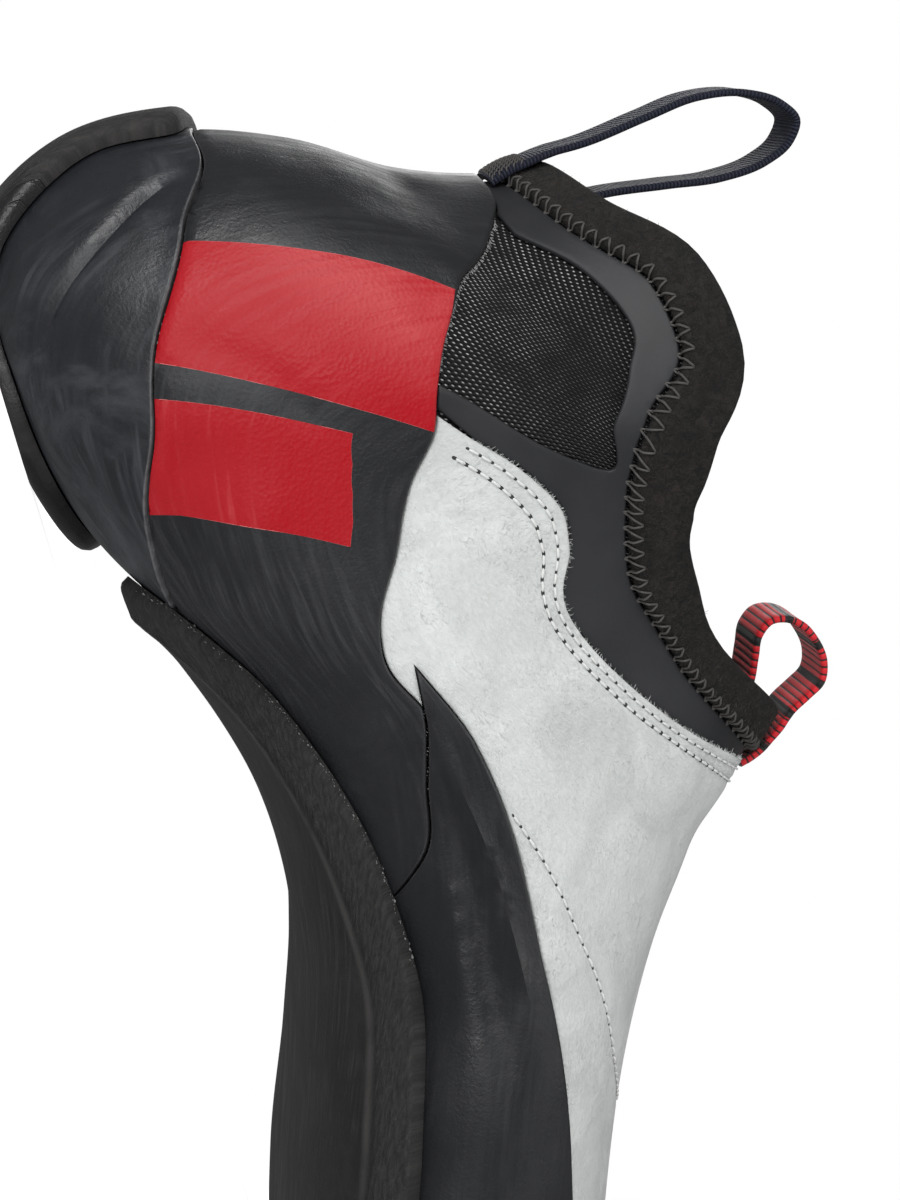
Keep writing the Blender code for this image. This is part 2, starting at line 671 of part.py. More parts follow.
def main():
    for old in list(bpy.data.objects):
        bpy.data.objects.remove(old, do_unlink=True)
    shoe = bpy.data.collections.new("climbing_shoe")
    bpy.context.scene.collection.children.link(shoe)
    pieces = (
        ("upper", "black knit", make_upper()),
        ("insole", "insole fabric", make_insole()),
        ("quarter", "pale suede", make_quarter()),
        ("front_rand", "charcoal rubber", make_front_rand()),
        ("heel_band", "charcoal rubber", make_heel_band()),
        ("heel_cup", "charcoal rubber", make_heel_cup()),
        ("heel_patch", "charcoal rubber", make_heel_patch()),
        ("outsole", "black rubber", make_outsole()),
        ("collar_film", "grey film", make_collar_film()),
        ("collar_binding", "dark felt", make_collar_binding()),
        ("heel_pull_loop", "ribbon", make_pull_loop(0, HEEL_LOOP_RISE)),
        ("front_pull_loop", "red ribbon", make_pull_loop(0.5, FRONT_LOOP_RISE)),
    )
    for name, finish, shape in pieces:
        add_object(shape, name, finish, shoe)


main()
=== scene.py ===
"""The looks of a climbing shoe for the right foot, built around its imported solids.

Every piece is cut from the same last as the solids. A place on the last has two shares: along, from the tip
of the toe (0) over the sole and up the back of the heel (1), and around, from the middle of the sole (0) to
the middle of the instep (0.5, outer side positive, inner side negative).
"""

from functools import reduce
from math import cos, pi, radians, sin

import bpy
import numpy as np
from mathutils import Matrix, Vector
from mathutils.geometry import delaunay_2d_cdt
from mathutils.kdtree import KDTree


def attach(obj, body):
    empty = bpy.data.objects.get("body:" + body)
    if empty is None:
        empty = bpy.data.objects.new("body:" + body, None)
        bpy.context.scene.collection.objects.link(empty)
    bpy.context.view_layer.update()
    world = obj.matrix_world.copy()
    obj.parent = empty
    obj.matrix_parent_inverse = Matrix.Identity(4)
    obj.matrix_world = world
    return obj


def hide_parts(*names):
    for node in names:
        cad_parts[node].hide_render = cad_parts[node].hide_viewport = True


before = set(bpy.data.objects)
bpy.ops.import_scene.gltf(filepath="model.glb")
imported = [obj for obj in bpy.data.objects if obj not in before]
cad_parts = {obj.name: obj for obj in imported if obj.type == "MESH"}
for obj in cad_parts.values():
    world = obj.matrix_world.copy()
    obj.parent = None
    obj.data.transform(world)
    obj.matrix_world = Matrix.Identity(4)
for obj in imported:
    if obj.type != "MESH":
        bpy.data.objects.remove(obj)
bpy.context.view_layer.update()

# The last and the walls, as in the solids
LAST_LENGTH = 0.240
BALL_WIDTH = 0.090
INSTEP_HEIGHT = 0.080
HEEL_HEIGHT = 0.088
TOE_ROUND = 0.030
UPPER_WALL = 0.0020
CLEARANCE = 0.0003
SKIN = UPPER_WALL + CLEARANCE
RUBBER_FACE = SKIN + 0.0020
SUEDE_FACE = SKIN + 0.0012
FILM_FACE = SKIN + 0.0006
BINDING_FACE = SKIN + 0.0020
INSOLE_WALL = 0.0012
SOLE_BACK = RUBBER_FACE + CLEARANCE
SOLE_FACE = SOLE_BACK + 0.0040
PATCH_FACE = SOLE_BACK + 0.0032
BINDING_WIDTH = 0.0060
BINDING_LIP = 0.0015
SOLE_BEVEL = 0.0045
SOLE_EDGE = 0.0018
SOLE_FADE = (0.33, 0.42)
HEEL_REST = 0.11
REST_DEPTH = 0.0018
RIBBON_WIDTH = 0.0110
RIBBON_WALL = 0.0014
HEEL_LOOP_RISE = 0.0390
FRONT_LOOP_RISE = 0.0150
LOOP_SEWN = 0.0085
LOOP_SLACK = 0.0009
SEWN_ROUND = 0.016
ZIGZAG_PITCH = 0.0023

# How finely the last is read and the pieces are divided
TOE_ROWS = 24
TOE_SHARE = 0.045
BODY_ROWS = 420
RING = 360
HALF_RING = 721
SAMPLES = 8
MM = 0.001

# Each wall: its look and slot, then the size of its triangles and the rounding of its rims in millimetres
WALLS = {
    "upper": ("mesh", "knit", 1.9, 0.4),
    "insole": ("insole", "insole", 2.0, 0.5),
    "quarter": ("suede", "suede", 1.0, 0.4),
    "front_rand": ("rand", "rand_rubber", 1.3, 0.5),
    "heel_band": ("band", "band_rubber", 1.0, 0.5),
    "heel_cup": ("cup", "cup_rubber", 0.9, 0.4),
    "heel_patch": ("patch", "cup_rubber", 0.9, 1.8),
    "outsole": ("sole", "sole_rubber", 1.1, 0.7),
    "collar_film": ("film", "film", 1.0, 0.3),
    "collar_binding": ("felt", "felt", 0.7, 0.9),
}
RIM_ROWS = (0.12, 0.45, 1.0)
RIM_REACH = 20 * MM

# Creases: their reach in widths, the fade at their ends, the width that needs its own edge, and the
# distance from a rim at which they start
FOLD_REACH = 3
FOLD_FADE = 3.5
SHARP_FOLD = 2
FOLD_INSET = 3 * MM

# Stitched rows on the suede: distance under its edge, size of the needle holes (both in millimetres), and
# how much of the creases each row follows; the second seam has its own line
EDGE_SEAMS = ((1.7, 0.24, 0.57), (3.8, 0.34, 1.0))
SECOND_SEAM = (0.22, 1.0)
STITCH_PITCH = 2.0 * MM
STITCH_RADIUS = 0.20 * MM
STITCH_START = 0.16
STITCH_STOP = 0.10
STITCH_RISE = 0.22 * MM
STITCH_SUNK = 0.20 * MM
HOLE_SUNK = 0.19 * MM
HOLE_LENGTH = 1.45
DOME_RISE = 0.35
DOME_DEPTH = 0.5
GROOVE_DEPTH = 0.22 * MM
GROOVE_WIDTH = 0.8 * MM

# Relief of the cup's lip, the sole's bevel and the puckered binding
LIP_RISE = 0.35 * MM
LIP_WIDTH = 2.5 * MM
BEVEL_CURVE = 1.3
CREST_RISE = 0.25 * MM
CREST_WIDTH = 1.3 * MM
PUCKER_DEPTH = 0.30 * MM
PUCKER_REACH = 2.0 * MM

# The ribbon in section (share of the half width, share of the half wall), how deep its sewn end sinks at
# each row in millimetres, and the step between rows of its mesh
RIBBON_SHAPE = (
    (-1, 0.2), (-0.97, 0.62), (-0.9, 0.8), (-0.6, 0.74), (-0.3, 0.7), (0, 0.7), (0.3, 0.7), (0.6, 0.74),
    (0.9, 0.8), (0.97, 0.62), (1, 0.2),
)
SEWN_SINK = (2.2, 1.2, 0.7, 0.6, 0.5)
SEWN_FADE = 1.3
LOOP_STEP = 0.6 * MM

# The collar's zigzag: its thread, how far it reaches to each side, and how it climbs onto the felt
ZIGZAG_RADIUS = 0.17 * MM
ZIGZAG_REACH = (0.9 * MM, -1.5 * MM)
ZIGZAG_DIP = 0.45 * MM
CLIMB_START = 0.7 / 2.4
CLIMB_LENGTH = 0.25
CLIMB_INSET = 0.1 * MM

# The tack stitches on the heel's ribbon, and the share of the ribbon's half wall that they lie on
TACK_RADIUS = 0.15 * MM
TACK_ROWS = 9
TACK_COLUMNS = 10
TACK_START = 0.7 * MM
TACK_ROW_PITCH = 0.62 * MM
TACK_COLUMN_PITCH = 1.1 * MM
TACK_REACH = 0.62 * MM
TACK_SHIFT = 0.5 * MM
TACK_INSET = 0.55 * MM
TACK_RISE = 0.17 * MM
TACK_DIP = 0.35 * MM
TACK_ACROSS = 0.6
TACK_ALONG = 0.5
RIBBON_FACE = 0.76

# The printed blocks: points a side, and how far from the band's edges their pale line stops
PRINT_STEPS = 16
PRINT_MARGINS = (0.6 * MM, 0.5 * MM)
PRINT_LINE_PITCH = 0.5 * MM
PRINT_LINE_RADIUS = 0.07 * MM
PRINT_LINE_SUNK = 0.03 * MM

# Fibres and crumbs: pitch of their rows, radius, and where the fray and the crumbs lie (along, around)
SUEDE_FIBRE_PITCH = 0.13 * MM
SUEDE_FIBRE_RADIUS = 0.035 * MM
FELT_FIBRE_PITCH = 0.30 * MM
FELT_FIBRE_RADIUS = 0.028 * MM
FELT_FIBRE_LAYERS = 7
FRAY_PITCH = 0.22 * MM
FRAY_RADIUS = 0.05 * MM
FRAY_HIGH, FRAY_LOW = 0.886, 0.752
CRUMB_PITCH = 0.24 * MM
CRUMB_SIZE = 0.05 * MM
CRUMBS_FROM = (0.36, 0.06)

# All threads: the share by which their ends taper, and how late. All pieces: the angle of a sharp edge
THREAD_TAPER = 0.75
TAPER_POWER = 6
SHARP_ANGLE = radians(50)
NOTHING = 1e-12

SECTION_COLUMNS = ("sole_x", "sole_z", "top_x", "top_z", "shift", "inner", "outer", "level", "low", "high")
SECTIONS = (
    (1.000, 0.040, 1.000, 0.300, 0.240, 0.250, 0.290, 0.45, 2.4, 2.4),
    (0.960, 0.005, 0.950, 0.380, 0.210, 0.300, 0.370, 0.42, 2.7, 2.3),
    (0.900, 0.000, 0.880, 0.440, 0.150, 0.365, 0.430, 0.38, 3.0, 2.2),
    (0.800, 0.010, 0.775, 0.510, 0.070, 0.435, 0.490, 0.34, 3.0, 2.1),
    (0.700, 0.076, 0.690, 0.585, 0.020, 0.450, 0.490, 0.34, 3.0, 2.0),
    (0.600, 0.168, 0.620, 0.675, 0.000, 0.400, 0.450, 0.36, 2.7, 1.9),
    (0.500, 0.242, 0.560, 0.785, 0.000, 0.330, 0.400, 0.38, 2.4, 1.9),
    (0.400, 0.243, 0.515, 0.900, 0.000, 0.290, 0.370, 0.40, 2.3, 1.9),
    (0.300, 0.170, 0.485, 1.000, 0.000, 0.290, 0.360, 0.40, 2.2, 1.9),
    (0.200, 0.035, 0.462, 1.080, 0.000, 0.320, 0.360, 0.38, 2.6, 1.9),
    (0.120, 0.000, 0.445, 1.140, 0.000, 0.350, 0.355, 0.36, 3.2, 1.9),
    (0.050, 0.025, 0.432, 1.190, 0.000, 0.360, 0.350, 0.36, 2.6, 1.9),
    (0.020, 0.155, 0.424, 1.230, 0.000, 0.350, 0.345, 0.38, 2.0, 1.9),
    (0.020, 0.309, 0.418, 1.260, 0.000, 0.330, 0.335, 0.42, 2.0, 1.9),
    (0.040, 0.473, 0.413, 1.290, 0.000, 0.320, 0.330, 0.48, 1.9, 1.9),
    (0.075, 0.636, 0.409, 1.320, 0.000, 0.320, 0.335, 0.52, 1.8, 1.9),
    (0.095, 0.809, 0.405, 1.350, 0.000, 0.325, 0.340, 0.54, 1.8, 1.9),
    (0.094, 0.991, 0.402, 1.380, 0.000, 0.325, 0.345, 0.54, 1.8, 1.9),
    (0.088, 1.173, 0.400, 1.410, 0.000, 0.320, 0.340, 0.54, 1.8, 1.9),
)

# Edges of the pieces on the outer side (along, around)
EDGES = {
    "collar": (
        (0.925, 0.000), (0.933, 0.070), (0.951, 0.130), (0.942, 0.190), (0.885, 0.245), (0.815, 0.305),
        (0.735, 0.365), (0.655, 0.435), (0.615, 0.500),
    ),
    "band_front": (
        (0.898, 0.000), (0.893, 0.045), (0.877, 0.075), (0.819, 0.139), (0.788, 0.171), (0.742, 0.211),
        (0.719, 0.229), (0.690, 0.239), (0.640, 0.237), (0.580, 0.214), (0.545, 0.206), (0.523, 0.211),
    ),
    "band_sole": (
        (0.523, 0.211), (0.465, 0.194), (0.419, 0.184), (0.390, 0.150), (0.400, 0.080), (0.404, 0.000),
    ),
    "cup": (
        (0.775, 0.000), (0.765, 0.045), (0.735, 0.082), (0.700, 0.113), (0.660, 0.124), (0.610, 0.113),
        (0.550, 0.082), (0.522, 0.048), (0.512, 0.000),
    ),
    "rand_top": (
        (0.0645, 0.500), (0.0656, 0.470), (0.076, 0.415), (0.180, 0.328), (0.300, 0.290), (0.385, 0.257),
        (0.470, 0.239), (0.562, 0.225),
    ),
    "suede_top": (
        (0.731, 0.240), (0.733, 0.262), (0.728, 0.290), (0.706, 0.314), (0.645, 0.330), (0.580, 0.400),
        (0.545, 0.500),
    ),
    "window": (
        (0.752, 0.218), (0.761, 0.260), (0.777, 0.279), (0.827, 0.240), (0.878, 0.191), (0.903, 0.156),
        (0.903, 0.108), (0.888, 0.075),
    ),
}

# Closed outlines under the foot (along, around)
OUTLINES = {
    "opening": (
        (0.045, 0.000), (0.065, 0.090), (0.130, 0.138), (0.240, 0.142), (0.330, 0.105), (0.370, 0.020),
        (0.330, -0.070), (0.240, -0.128), (0.130, -0.136), (0.065, -0.090),
    ),
    "outsole": (
        (0.014, 0.000), (0.018, 0.100), (0.042, 0.170), (0.100, 0.196), (0.200, 0.205), (0.290, 0.203),
        (0.350, 0.190), (0.404, 0.162), (0.470, 0.126), (0.520, 0.100), (0.552, 0.074), (0.557, 0.050),
        (0.540, 0.020), (0.512, -0.022), (0.477, -0.052), (0.423, -0.078), (0.340, -0.125), (0.260, -0.172),
        (0.180, -0.194), (0.100, -0.190), (0.042, -0.165), (0.018, -0.100),
    ),
    "patch": (
        (0.768, 0.012), (0.735, 0.014), (0.700, 0.027), (0.660, 0.037), (0.625, 0.044), (0.590, 0.026),
        (0.565, -0.004), (0.562, -0.045), (0.580, -0.085), (0.640, -0.102), (0.720, -0.090),
        (0.765, -0.060), (0.774, -0.020),
    ),
    "insole": (
        (0.030, 0.000), (0.045, 0.100), (0.100, 0.158), (0.210, 0.175), (0.320, 0.155), (0.500, 0.095),
        (0.650, 0.100), (0.720, 0.065), (0.737, 0.000), (0.720, -0.065), (0.650, -0.100), (0.500, -0.090),
        (0.320, -0.145), (0.210, -0.170), (0.100, -0.156), (0.045, -0.100),
    ),
}

# The second stitched seam on the suede (along, around)
SEAM = (
    (0.455, 0.246), (0.430, 0.262), (0.390, 0.288), (0.340, 0.325), (0.290, 0.370), (0.250, 0.430),
    (0.236, 0.500),
)

# Two plain slanted blocks printed on the heel band (along, around)
BLOCKS = (
    ((0.716, 0.085), (0.806, 0.150), (0.726, 0.240), (0.672, 0.105)),
    ((0.656, 0.105), (0.697, 0.205), (0.681, 0.2125), (0.664, 0.2155), (0.648, 0.2155), (0.632, 0.213),
     (0.606, 0.100)),
)

# A pull loop seen from the side (rise, out), as in the solids
LOOP_SHAPE = (
    (0.20, 0.95), (0.45, 1.03), (0.65, 1.08), (0.84, 0.86), (0.96, 0.46), (1.00, 0.10), (0.95, -0.25),
    (0.84, -0.46), (0.66, -0.48), (0.45, -0.28), (0.20, -0.05),
)

# Creases and swellings: rise and width in millimetres, then the line that each follows (along, around)
FOLDS = {
    "heel_cup": (
        (-0.9, 0.8, ((0.770, 0.046), (0.735, 0.060), (0.696, 0.075), (0.646, 0.071))),
        (0.6, 3.0, ((0.765, 0.036), (0.730, 0.048), (0.690, 0.058), (0.640, 0.056))),
        (0.5, 2.5, ((0.690, 0.034), (0.669, 0.043), (0.650, 0.054), (0.635, 0.064), (0.600, 0.061))),
        (-0.6, 3.5, ((0.735, 0.040), (0.708, 0.046), (0.690, 0.047))),
        (-0.7, 3.0, ((0.640, 0.092), (0.600, 0.080), (0.560, 0.062))),
        (-0.6, 1.0, ((0.765, -0.046), (0.730, -0.068), (0.690, -0.080), (0.640, -0.075))),
        (0.4, 3.5, ((0.760, -0.030), (0.720, -0.046), (0.660, -0.050))),
    ),
    "heel_band": (
        (-1.1, 6.0, ((0.665, 0.138), (0.630, 0.132), (0.590, 0.124), (0.560, 0.118))),
        (0.5, 4.0, ((0.660, 0.190), (0.620, 0.165), (0.580, 0.150), (0.530, 0.150))),
        (-0.5, 2.5, ((0.690, 0.118), (0.700, 0.160), (0.690, 0.200))),
        (-0.5, 5.0, ((0.560, 0.190), (0.500, 0.165), (0.450, 0.150))),
        (-0.6, 4.0, ((0.865, 0.020), (0.840, 0.060), (0.800, 0.095))),
        (-0.9, 6.0, ((0.670, -0.150), (0.620, -0.140), (0.560, -0.125))),
        (0.5, 4.0, ((0.640, -0.190), (0.580, -0.165), (0.500, -0.155))),
    ),
    "front_rand": (
        (1.0, 1.1, ((0.535, 0.212), (0.477, 0.213), (0.412, 0.230), (0.358, 0.248), (0.300, 0.268))),
        (-0.8, 1.2, ((0.520, 0.205), (0.470, 0.203), (0.410, 0.213), (0.350, 0.231), (0.290, 0.254))),
        (0.6, 1.4, ((0.500, 0.198), (0.440, 0.196), (0.380, 0.205), (0.320, 0.222))),
        (-0.6, 5.0, ((0.480, 0.184), (0.400, 0.190), (0.320, 0.208))),
        (0.7, 1.3, ((0.535, -0.212), (0.477, -0.213), (0.412, -0.230), (0.358, -0.248))),
        (-0.6, 1.2, ((0.520, -0.205), (0.470, -0.203), (0.410, -0.213), (0.350, -0.231))),
    ),
    "quarter": (
        (-0.5, 4.0, ((0.660, 0.245), (0.640, 0.275), (0.620, 0.300))),
        (0.4, 5.0, ((0.600, 0.235), (0.575, 0.270), (0.560, 0.310))),
        (-0.4, 4.0, ((0.540, 0.240), (0.520, 0.280), (0.510, 0.320))),
        (0.4, 4.0, ((0.450, 0.250), (0.430, 0.300), (0.425, 0.360))),
        (-0.4, 4.0, ((0.400, 0.270), (0.385, 0.330), (0.380, 0.400))),
        (-0.5, 5.0, ((0.480, 0.330), (0.455, 0.400), (0.450, 0.500))),
        (-0.5, 5.0, ((0.480, -0.330), (0.455, -0.400), (0.450, -0.500))),
        (-0.5, 4.0, ((0.640, -0.260), (0.600, -0.290), (0.560, -0.300))),
        (0.4, 4.0, ((0.430, -0.260), (0.410, -0.330), (0.405, -0.400))),
    ),
    "collar_film": (
        (-0.25, 3.0, ((0.760, 0.300), (0.750, 0.330), (0.735, 0.350))),
        (-0.25, 3.0, ((0.760, -0.300), (0.750, -0.330), (0.735, -0.350))),
    ),
    "heel_patch": (
        (-0.5, 5.0, ((0.690, -0.010), (0.660, -0.006), (0.620, 0.000))),
    ),
    "outsole": (
        (-0.6, 7.0, ((0.500, 0.060), (0.440, 0.070), (0.380, 0.060))),
        (-0.5, 6.0, ((0.470, -0.010), (0.400, -0.040), (0.340, -0.060))),
    ),
}


def hermite(knots, values, at):
    """Values at the places at, on a smooth curve through the knots."""
    slopes = np.gradient(values, knots, axis=0)
    i = np.clip(np.searchsorted(knots, at, side="right") - 1, 0, len(knots) - 2)
    width = (knots[i + 1] - knots[i])[:, None]
    t = (at - knots[i])[:, None] / width
    start = (2 * t**3 - 3 * t**2 + 1) * values[i] + (t**3 - 2 * t**2 + t) * width * slopes[i]
    end = (3 * t**2 - 2 * t**3) * values[i + 1] + (t**3 - t**2) * width * slopes[i + 1]
    return start + end


def lengths(points):
    """Distance from the first point to each one, along them."""
    return np.concatenate([[0], np.cumsum(np.linalg.norm(np.diff(points, axis=0), axis=-1))])


def sections():
    """The table's rows in metres, and how far each lies along the middle of the sole and heel."""
    row = dict(zip(SECTION_COLUMNS, np.array(SECTIONS).T))
    rubber = PATCH_FACE + (SOLE_FACE - PATCH_FACE) * row["sole_x"] - REST_DEPTH
    row["sole_z"] = row["sole_z"] * HEEL_HEIGHT + rubber
    row["top_z"] = row["top_z"] * INSTEP_HEIGHT + rubber
    for name in ("sole_x", "top_x"):
        row[name] = (row[name] - HEEL_REST) * LAST_LENGTH
    for name in ("shift", "inner", "outer"):
        row[name] = row[name] * BALL_WIDTH
    knots = lengths(np.stack([row["sole_x"], row["sole_z"]], 1))
    return knots, np.stack([row[name] for name in SECTION_COLUMNS], 1)


def half_ring(wide, level, low, high):
    """One side of a section from sole to top: how far out it lies, and how high as a share."""
    angle = np.linspace(0, pi, HALF_RING)
    power = np.where(angle < pi / 2, 2 / low, 2 / high)
    reach = np.where(angle < pi / 2, level, 1 - level)
    across = wide * np.abs(np.sin(angle)) ** power
    up = level - np.sign(np.cos(angle)) * reach * np.abs(np.cos(angle)) ** power
    return across, up


def last(along, around):
    """Points of the last's surface, one row for each section in along."""
    knots, rows = sections()
    at = np.clip(along, 0, 1) * knots[-1]
    points = np.zeros((len(at), len(around), 3))
    for i, row in enumerate(hermite(knots, rows, at)):
        sole_x, sole_z, top_x, top_z, shift, inner, outer, level, low, high = row
        height = np.hypot(top_x - sole_x, top_z - sole_z)
        round_end = 1 - min(at[i] / TOE_ROUND, 1)
        cap = max(0.0, 1 - round_end**2) ** 0.5
        across = np.zeros(len(around))
        up = np.zeros(len(around))
        for side, wide in ((1, outer), (-1, inner)):
            ring_across, ring_up = half_ring(wide, level, low, high)
            arc = lengths(np.stack([ring_across, ring_up * height], 1))
            here = around * side >= 0
            share = np.abs(around[here]) * 2
            across[here] = side * np.interp(share, arc / arc[-1], ring_across)
            up[here] = np.interp(share, arc / arc[-1], ring_up)
        up = level + (up - level) * cap
        points[i, :, 0] = sole_x + (top_x - sole_x) * up
        points[i, :, 1] = shift - across * cap
        points[i, :, 2] = sole_z + (top_z - sole_z) * up
    return points


class Last:
    """The last's surface as a fine grid, read between its nodes."""

    def __init__(self):
        toe = TOE_SHARE * (np.arange(TOE_ROWS) / TOE_ROWS) ** 2
        self.along = np.concatenate([toe, np.linspace(TOE_SHARE, 1, BODY_ROWS)])
        self.around = np.linspace(-0.5, 0.5, RING + 1)
        self.points = last(self.along, self.around)
        ahead = np.gradient(self.points, axis=0)
        aside = np.gradient(self.points, axis=1)
        seam = self.points[:, 1] - self.points[:, -2]
        aside[:, 0] = aside[:, -1] = seam / 2
        across = np.cross(ahead, aside)
        across[0] = across[1].mean(0)
        across[:, 0] = across[:, -1] = across[:, 0] + across[:, -1]
        across /= np.linalg.norm(across, axis=-1, keepdims=True)
        centre = self.points.mean(1, keepdims=True)
        self.normals = across * np.sign(((self.points - centre) * across).sum())
        self.length = lengths(self.points[:, RING // 2])[-1]
        self.girth = np.linalg.norm(np.diff(self.points, axis=1), axis=-1).sum(1).mean()

    def read(self, places):
        """Points and outward directions at the places."""
        along, around = np.asarray(places, float).T
        i = np.clip(np.searchsorted(self.along, along, side="right") - 1, 0, len(self.along) - 2)
        j = np.clip(np.searchsorted(self.around, around, side="right") - 1, 0, RING - 1)
        s = ((along - self.along[i]) / (self.along[i + 1] - self.along[i]))[:, None]
        t = ((around - self.around[j]) / (self.around[j + 1] - self.around[j]))[:, None]
        found = []
        for grid in (self.points, self.normals):
            near = grid[i, j] * (1 - s) + grid[i + 1, j] * s
            far = grid[i, j + 1] * (1 - s) + grid[i + 1, j + 1] * s
            found.append(near * (1 - t) + far * t)
        return found[0], found[1] / np.linalg.norm(found[1], axis=-1, keepdims=True)

    def place(self, places, offset):
        """Points at the offset from the last, never under the floor."""
        points, ways = self.read(places)
        points = points + ways * np.broadcast_to(offset, len(points))[:, None]
        points[:, 2] = np.maximum(points[:, 2], 0)
        return points

    def flat(self, places):
        return np.asarray(places) * (self.length, self.girth)


LAST = Last()


class Line:
    """A curve on the last that says how far points lie from it, and where along it."""

    def __init__(self, places, closed=False, step=0.3 * MM):
        places = np.asarray(places, float)
        if closed:
            places = np.concatenate([places, places[:1]])
        points = LAST.read(places)[0]
        far = lengths(points)
        keep = np.concatenate([[True], np.diff(far) > 1e-9])
        self.far = np.linspace(0, far[-1], max(int(far[-1] / step), 8))
        self.points = np.stack([np.interp(self.far, far[keep], points[keep, k]) for k in range(3)], 1)
        self.tree = KDTree(len(self.points))
        for i, point in enumerate(self.points):
            self.tree.insert(point, i)
        self.tree.balance()

    def nearest(self, points, reach):
        """Distance up to the reach and share of the curve's length, for each point."""
        distance = np.full(len(points), reach)
        share = np.zeros(len(points))
        low, high = self.points.min(0) - reach, self.points.max(0) + reach
        near = np.flatnonzero(((points > low) & (points < high)).all(1))
        if not len(near):
            return distance, share
        index = np.array([self.tree.find(point)[1] for point in points[near]])
        for start in (np.maximum(index - 1, 0), np.minimum(index, len(self.points) - 2)):
            way = self.points[start + 1] - self.points[start]
            from_start = points[near] - self.points[start]
            t = np.clip((from_start * way).sum(1) / (way * way).sum(1), 0, 1)
            found = np.linalg.norm(from_start - way * t[:, None], axis=1)
            better = found < distance[near]
            distance[near[better]] = found[better]
            share[near[better]] = ((start + t) / (len(self.points) - 1))[better]
        return distance, share


def smooth(rows, closed=False):
    """A smooth curve through the rows, as places (along, around)."""
    rows = np.array(rows, float)
    if closed:
        rows = np.concatenate([rows[-3:], rows, rows[:4]])
    knots = lengths(LAST.flat(rows))
    first, final = (3, len(rows) - 4) if closed else (0, len(rows) - 1)
    spans = [np.linspace(knots[i], knots[i + 1], SAMPLES, endpoint=False) for i in range(first, final)]
    at = np.concatenate(spans if closed else spans + [knots[final:final + 1]])
    return hermite(knots, rows, at)


def mirrored(curve):
    return (curve * (1, -1))[::-1]


def edge(name):
    return smooth(EDGES[name])


def whole(curve):
    return np.concatenate([mirrored(curve), curve[1:]])


def stretch(curve, high, low):
    return curve[(curve[:, 0] <= high) & (curve[:, 0] >= low)]


def ring(chain):
    return np.concatenate([chain, mirrored(chain)[1:-1]])


def over_toe(chain):
    return np.concatenate([whole(chain), [(0.0, 0.5), (0.0, -0.5)]])


def strip(low, high):
    return np.concatenate([low, high[::-1]])


def scale_at(places, step=0.002):
    """Metres for one whole share, along and around, at each place."""
    along, around = np.asarray(places).T
    low = np.stack([np.clip(along - step, 0, 1), around], 1)
    high = np.stack([np.clip(along + step, 0, 1), around], 1)
    left = np.stack([along, np.clip(around - step, -0.5, 0.5)], 1)
    right = np.stack([along, np.clip(around + step, -0.5, 0.5)], 1)
    by_along = np.linalg.norm(LAST.read(high)[0] - LAST.read(low)[0], axis=-1)
    by_around = np.linalg.norm(LAST.read(right)[0] - LAST.read(left)[0], axis=-1)
    return np.stack([by_along / (high - low)[:, 0], by_around / (right - left)[:, 1]], 1)


def on_seam(places):
    return np.abs(np.abs(places[..., 1]) - 0.5) < 1e-7


def at_tip(places):
    return places[..., 0] < 1e-7


def shifted(curve, distance, closed=False):
    """The curve moved to its left by a real distance. What lies on the instep's middle slides along it."""
    scale = np.maximum(scale_at(curve), 1e-4)
    before, after = np.roll(curve, 1, axis=0), np.roll(curve, -1, axis=0)
    if not closed:
        before[0], after[-1] = curve[0], curve[-1]
    moved = curve.copy()
    for i, (old, here, new) in enumerate(zip(before, curve, after)):
        sides = []
        for start, stop in ((old, here), (here, new)):
            way = (stop - start) * scale[i]
            size = np.linalg.norm(way)
            border = (on_seam(start) and on_seam(stop)) or (at_tip(start) and at_tip(stop))
            if size > 1e-9 and not border:
                sides.append(np.array([-way[1], way[0]]) / size)
        if not sides or at_tip(here):
            continue
        side = np.mean(sides, axis=0)
        side = side / max(side @ side, 0.25)
        if on_seam(here):
            side = np.array([np.sign(side[0]), 0.0])
        moved[i] = here + side * distance / scale[i]
    moved[:, 1] = np.clip(moved[:, 1], -0.5, 0.5)
    return moved if closed else unfolded(moved, curve)


def unfolded(moved, curve):
    """A moved curve without the places where a tight bend turned it back on itself."""
    kept = [moved[0]]
    for here, way in zip(moved[1:], np.diff(curve, axis=0)):
        if (here - kept[-1]) @ way > 0:
            kept.append(here)
    return np.array(kept)


def area(loop):
    along, around = loop.T
    return (along * np.roll(around, -1) - np.roll(along, -1) * around).sum() / 2


def inset(loop, distance):
    """A closed outline made smaller all round, but not across the instep's middle."""
    return shifted(loop, distance if area(loop) > 0 else -distance, closed=True)


def inside(places, loops):
    """Which places lie inside an odd number of the closed outlines."""
    along, around = places.T
    hits = np.zeros(len(places), int)
    for loop in loops:
        for (a0, r0), (a1, r1) in zip(loop, np.roll(loop, -1, axis=0)):
            if r0 != r1:
                crosses = (r0 > around) != (r1 > around)
                hits += crosses & (along < a0 + (around - r0) * (a1 - a0) / (r1 - r0))
    return hits % 2 == 1


def nodes_between(loops, cell):
    """Places spread evenly over the last inside the loops, in staggered rows."""
    every = np.concatenate(loops)
    low, high = every.min(0), every.max(0)
    rows = np.arange(max(low[0], 0), min(high[0], 1) + 1e-9, cell / LAST.length)
    found = []
    girths = np.linalg.norm(np.diff(LAST.points, axis=1), axis=-1).sum(1)
    for i, row in enumerate(rows):
        count = max(int(np.interp(row, LAST.along, girths) / cell), 3)
        around = np.linspace(-0.5, 0.5, count + 1)
        if i % 2:
            around = np.concatenate([[-0.5], (around[1:] + around[:-1]) / 2, [0.5]])
        around = around[(around >= low[1] - 1e-9) & (around <= high[1] + 1e-9)]
        found.append(np.stack([np.full(len(around), row), around], 1))
    return np.concatenate(found)


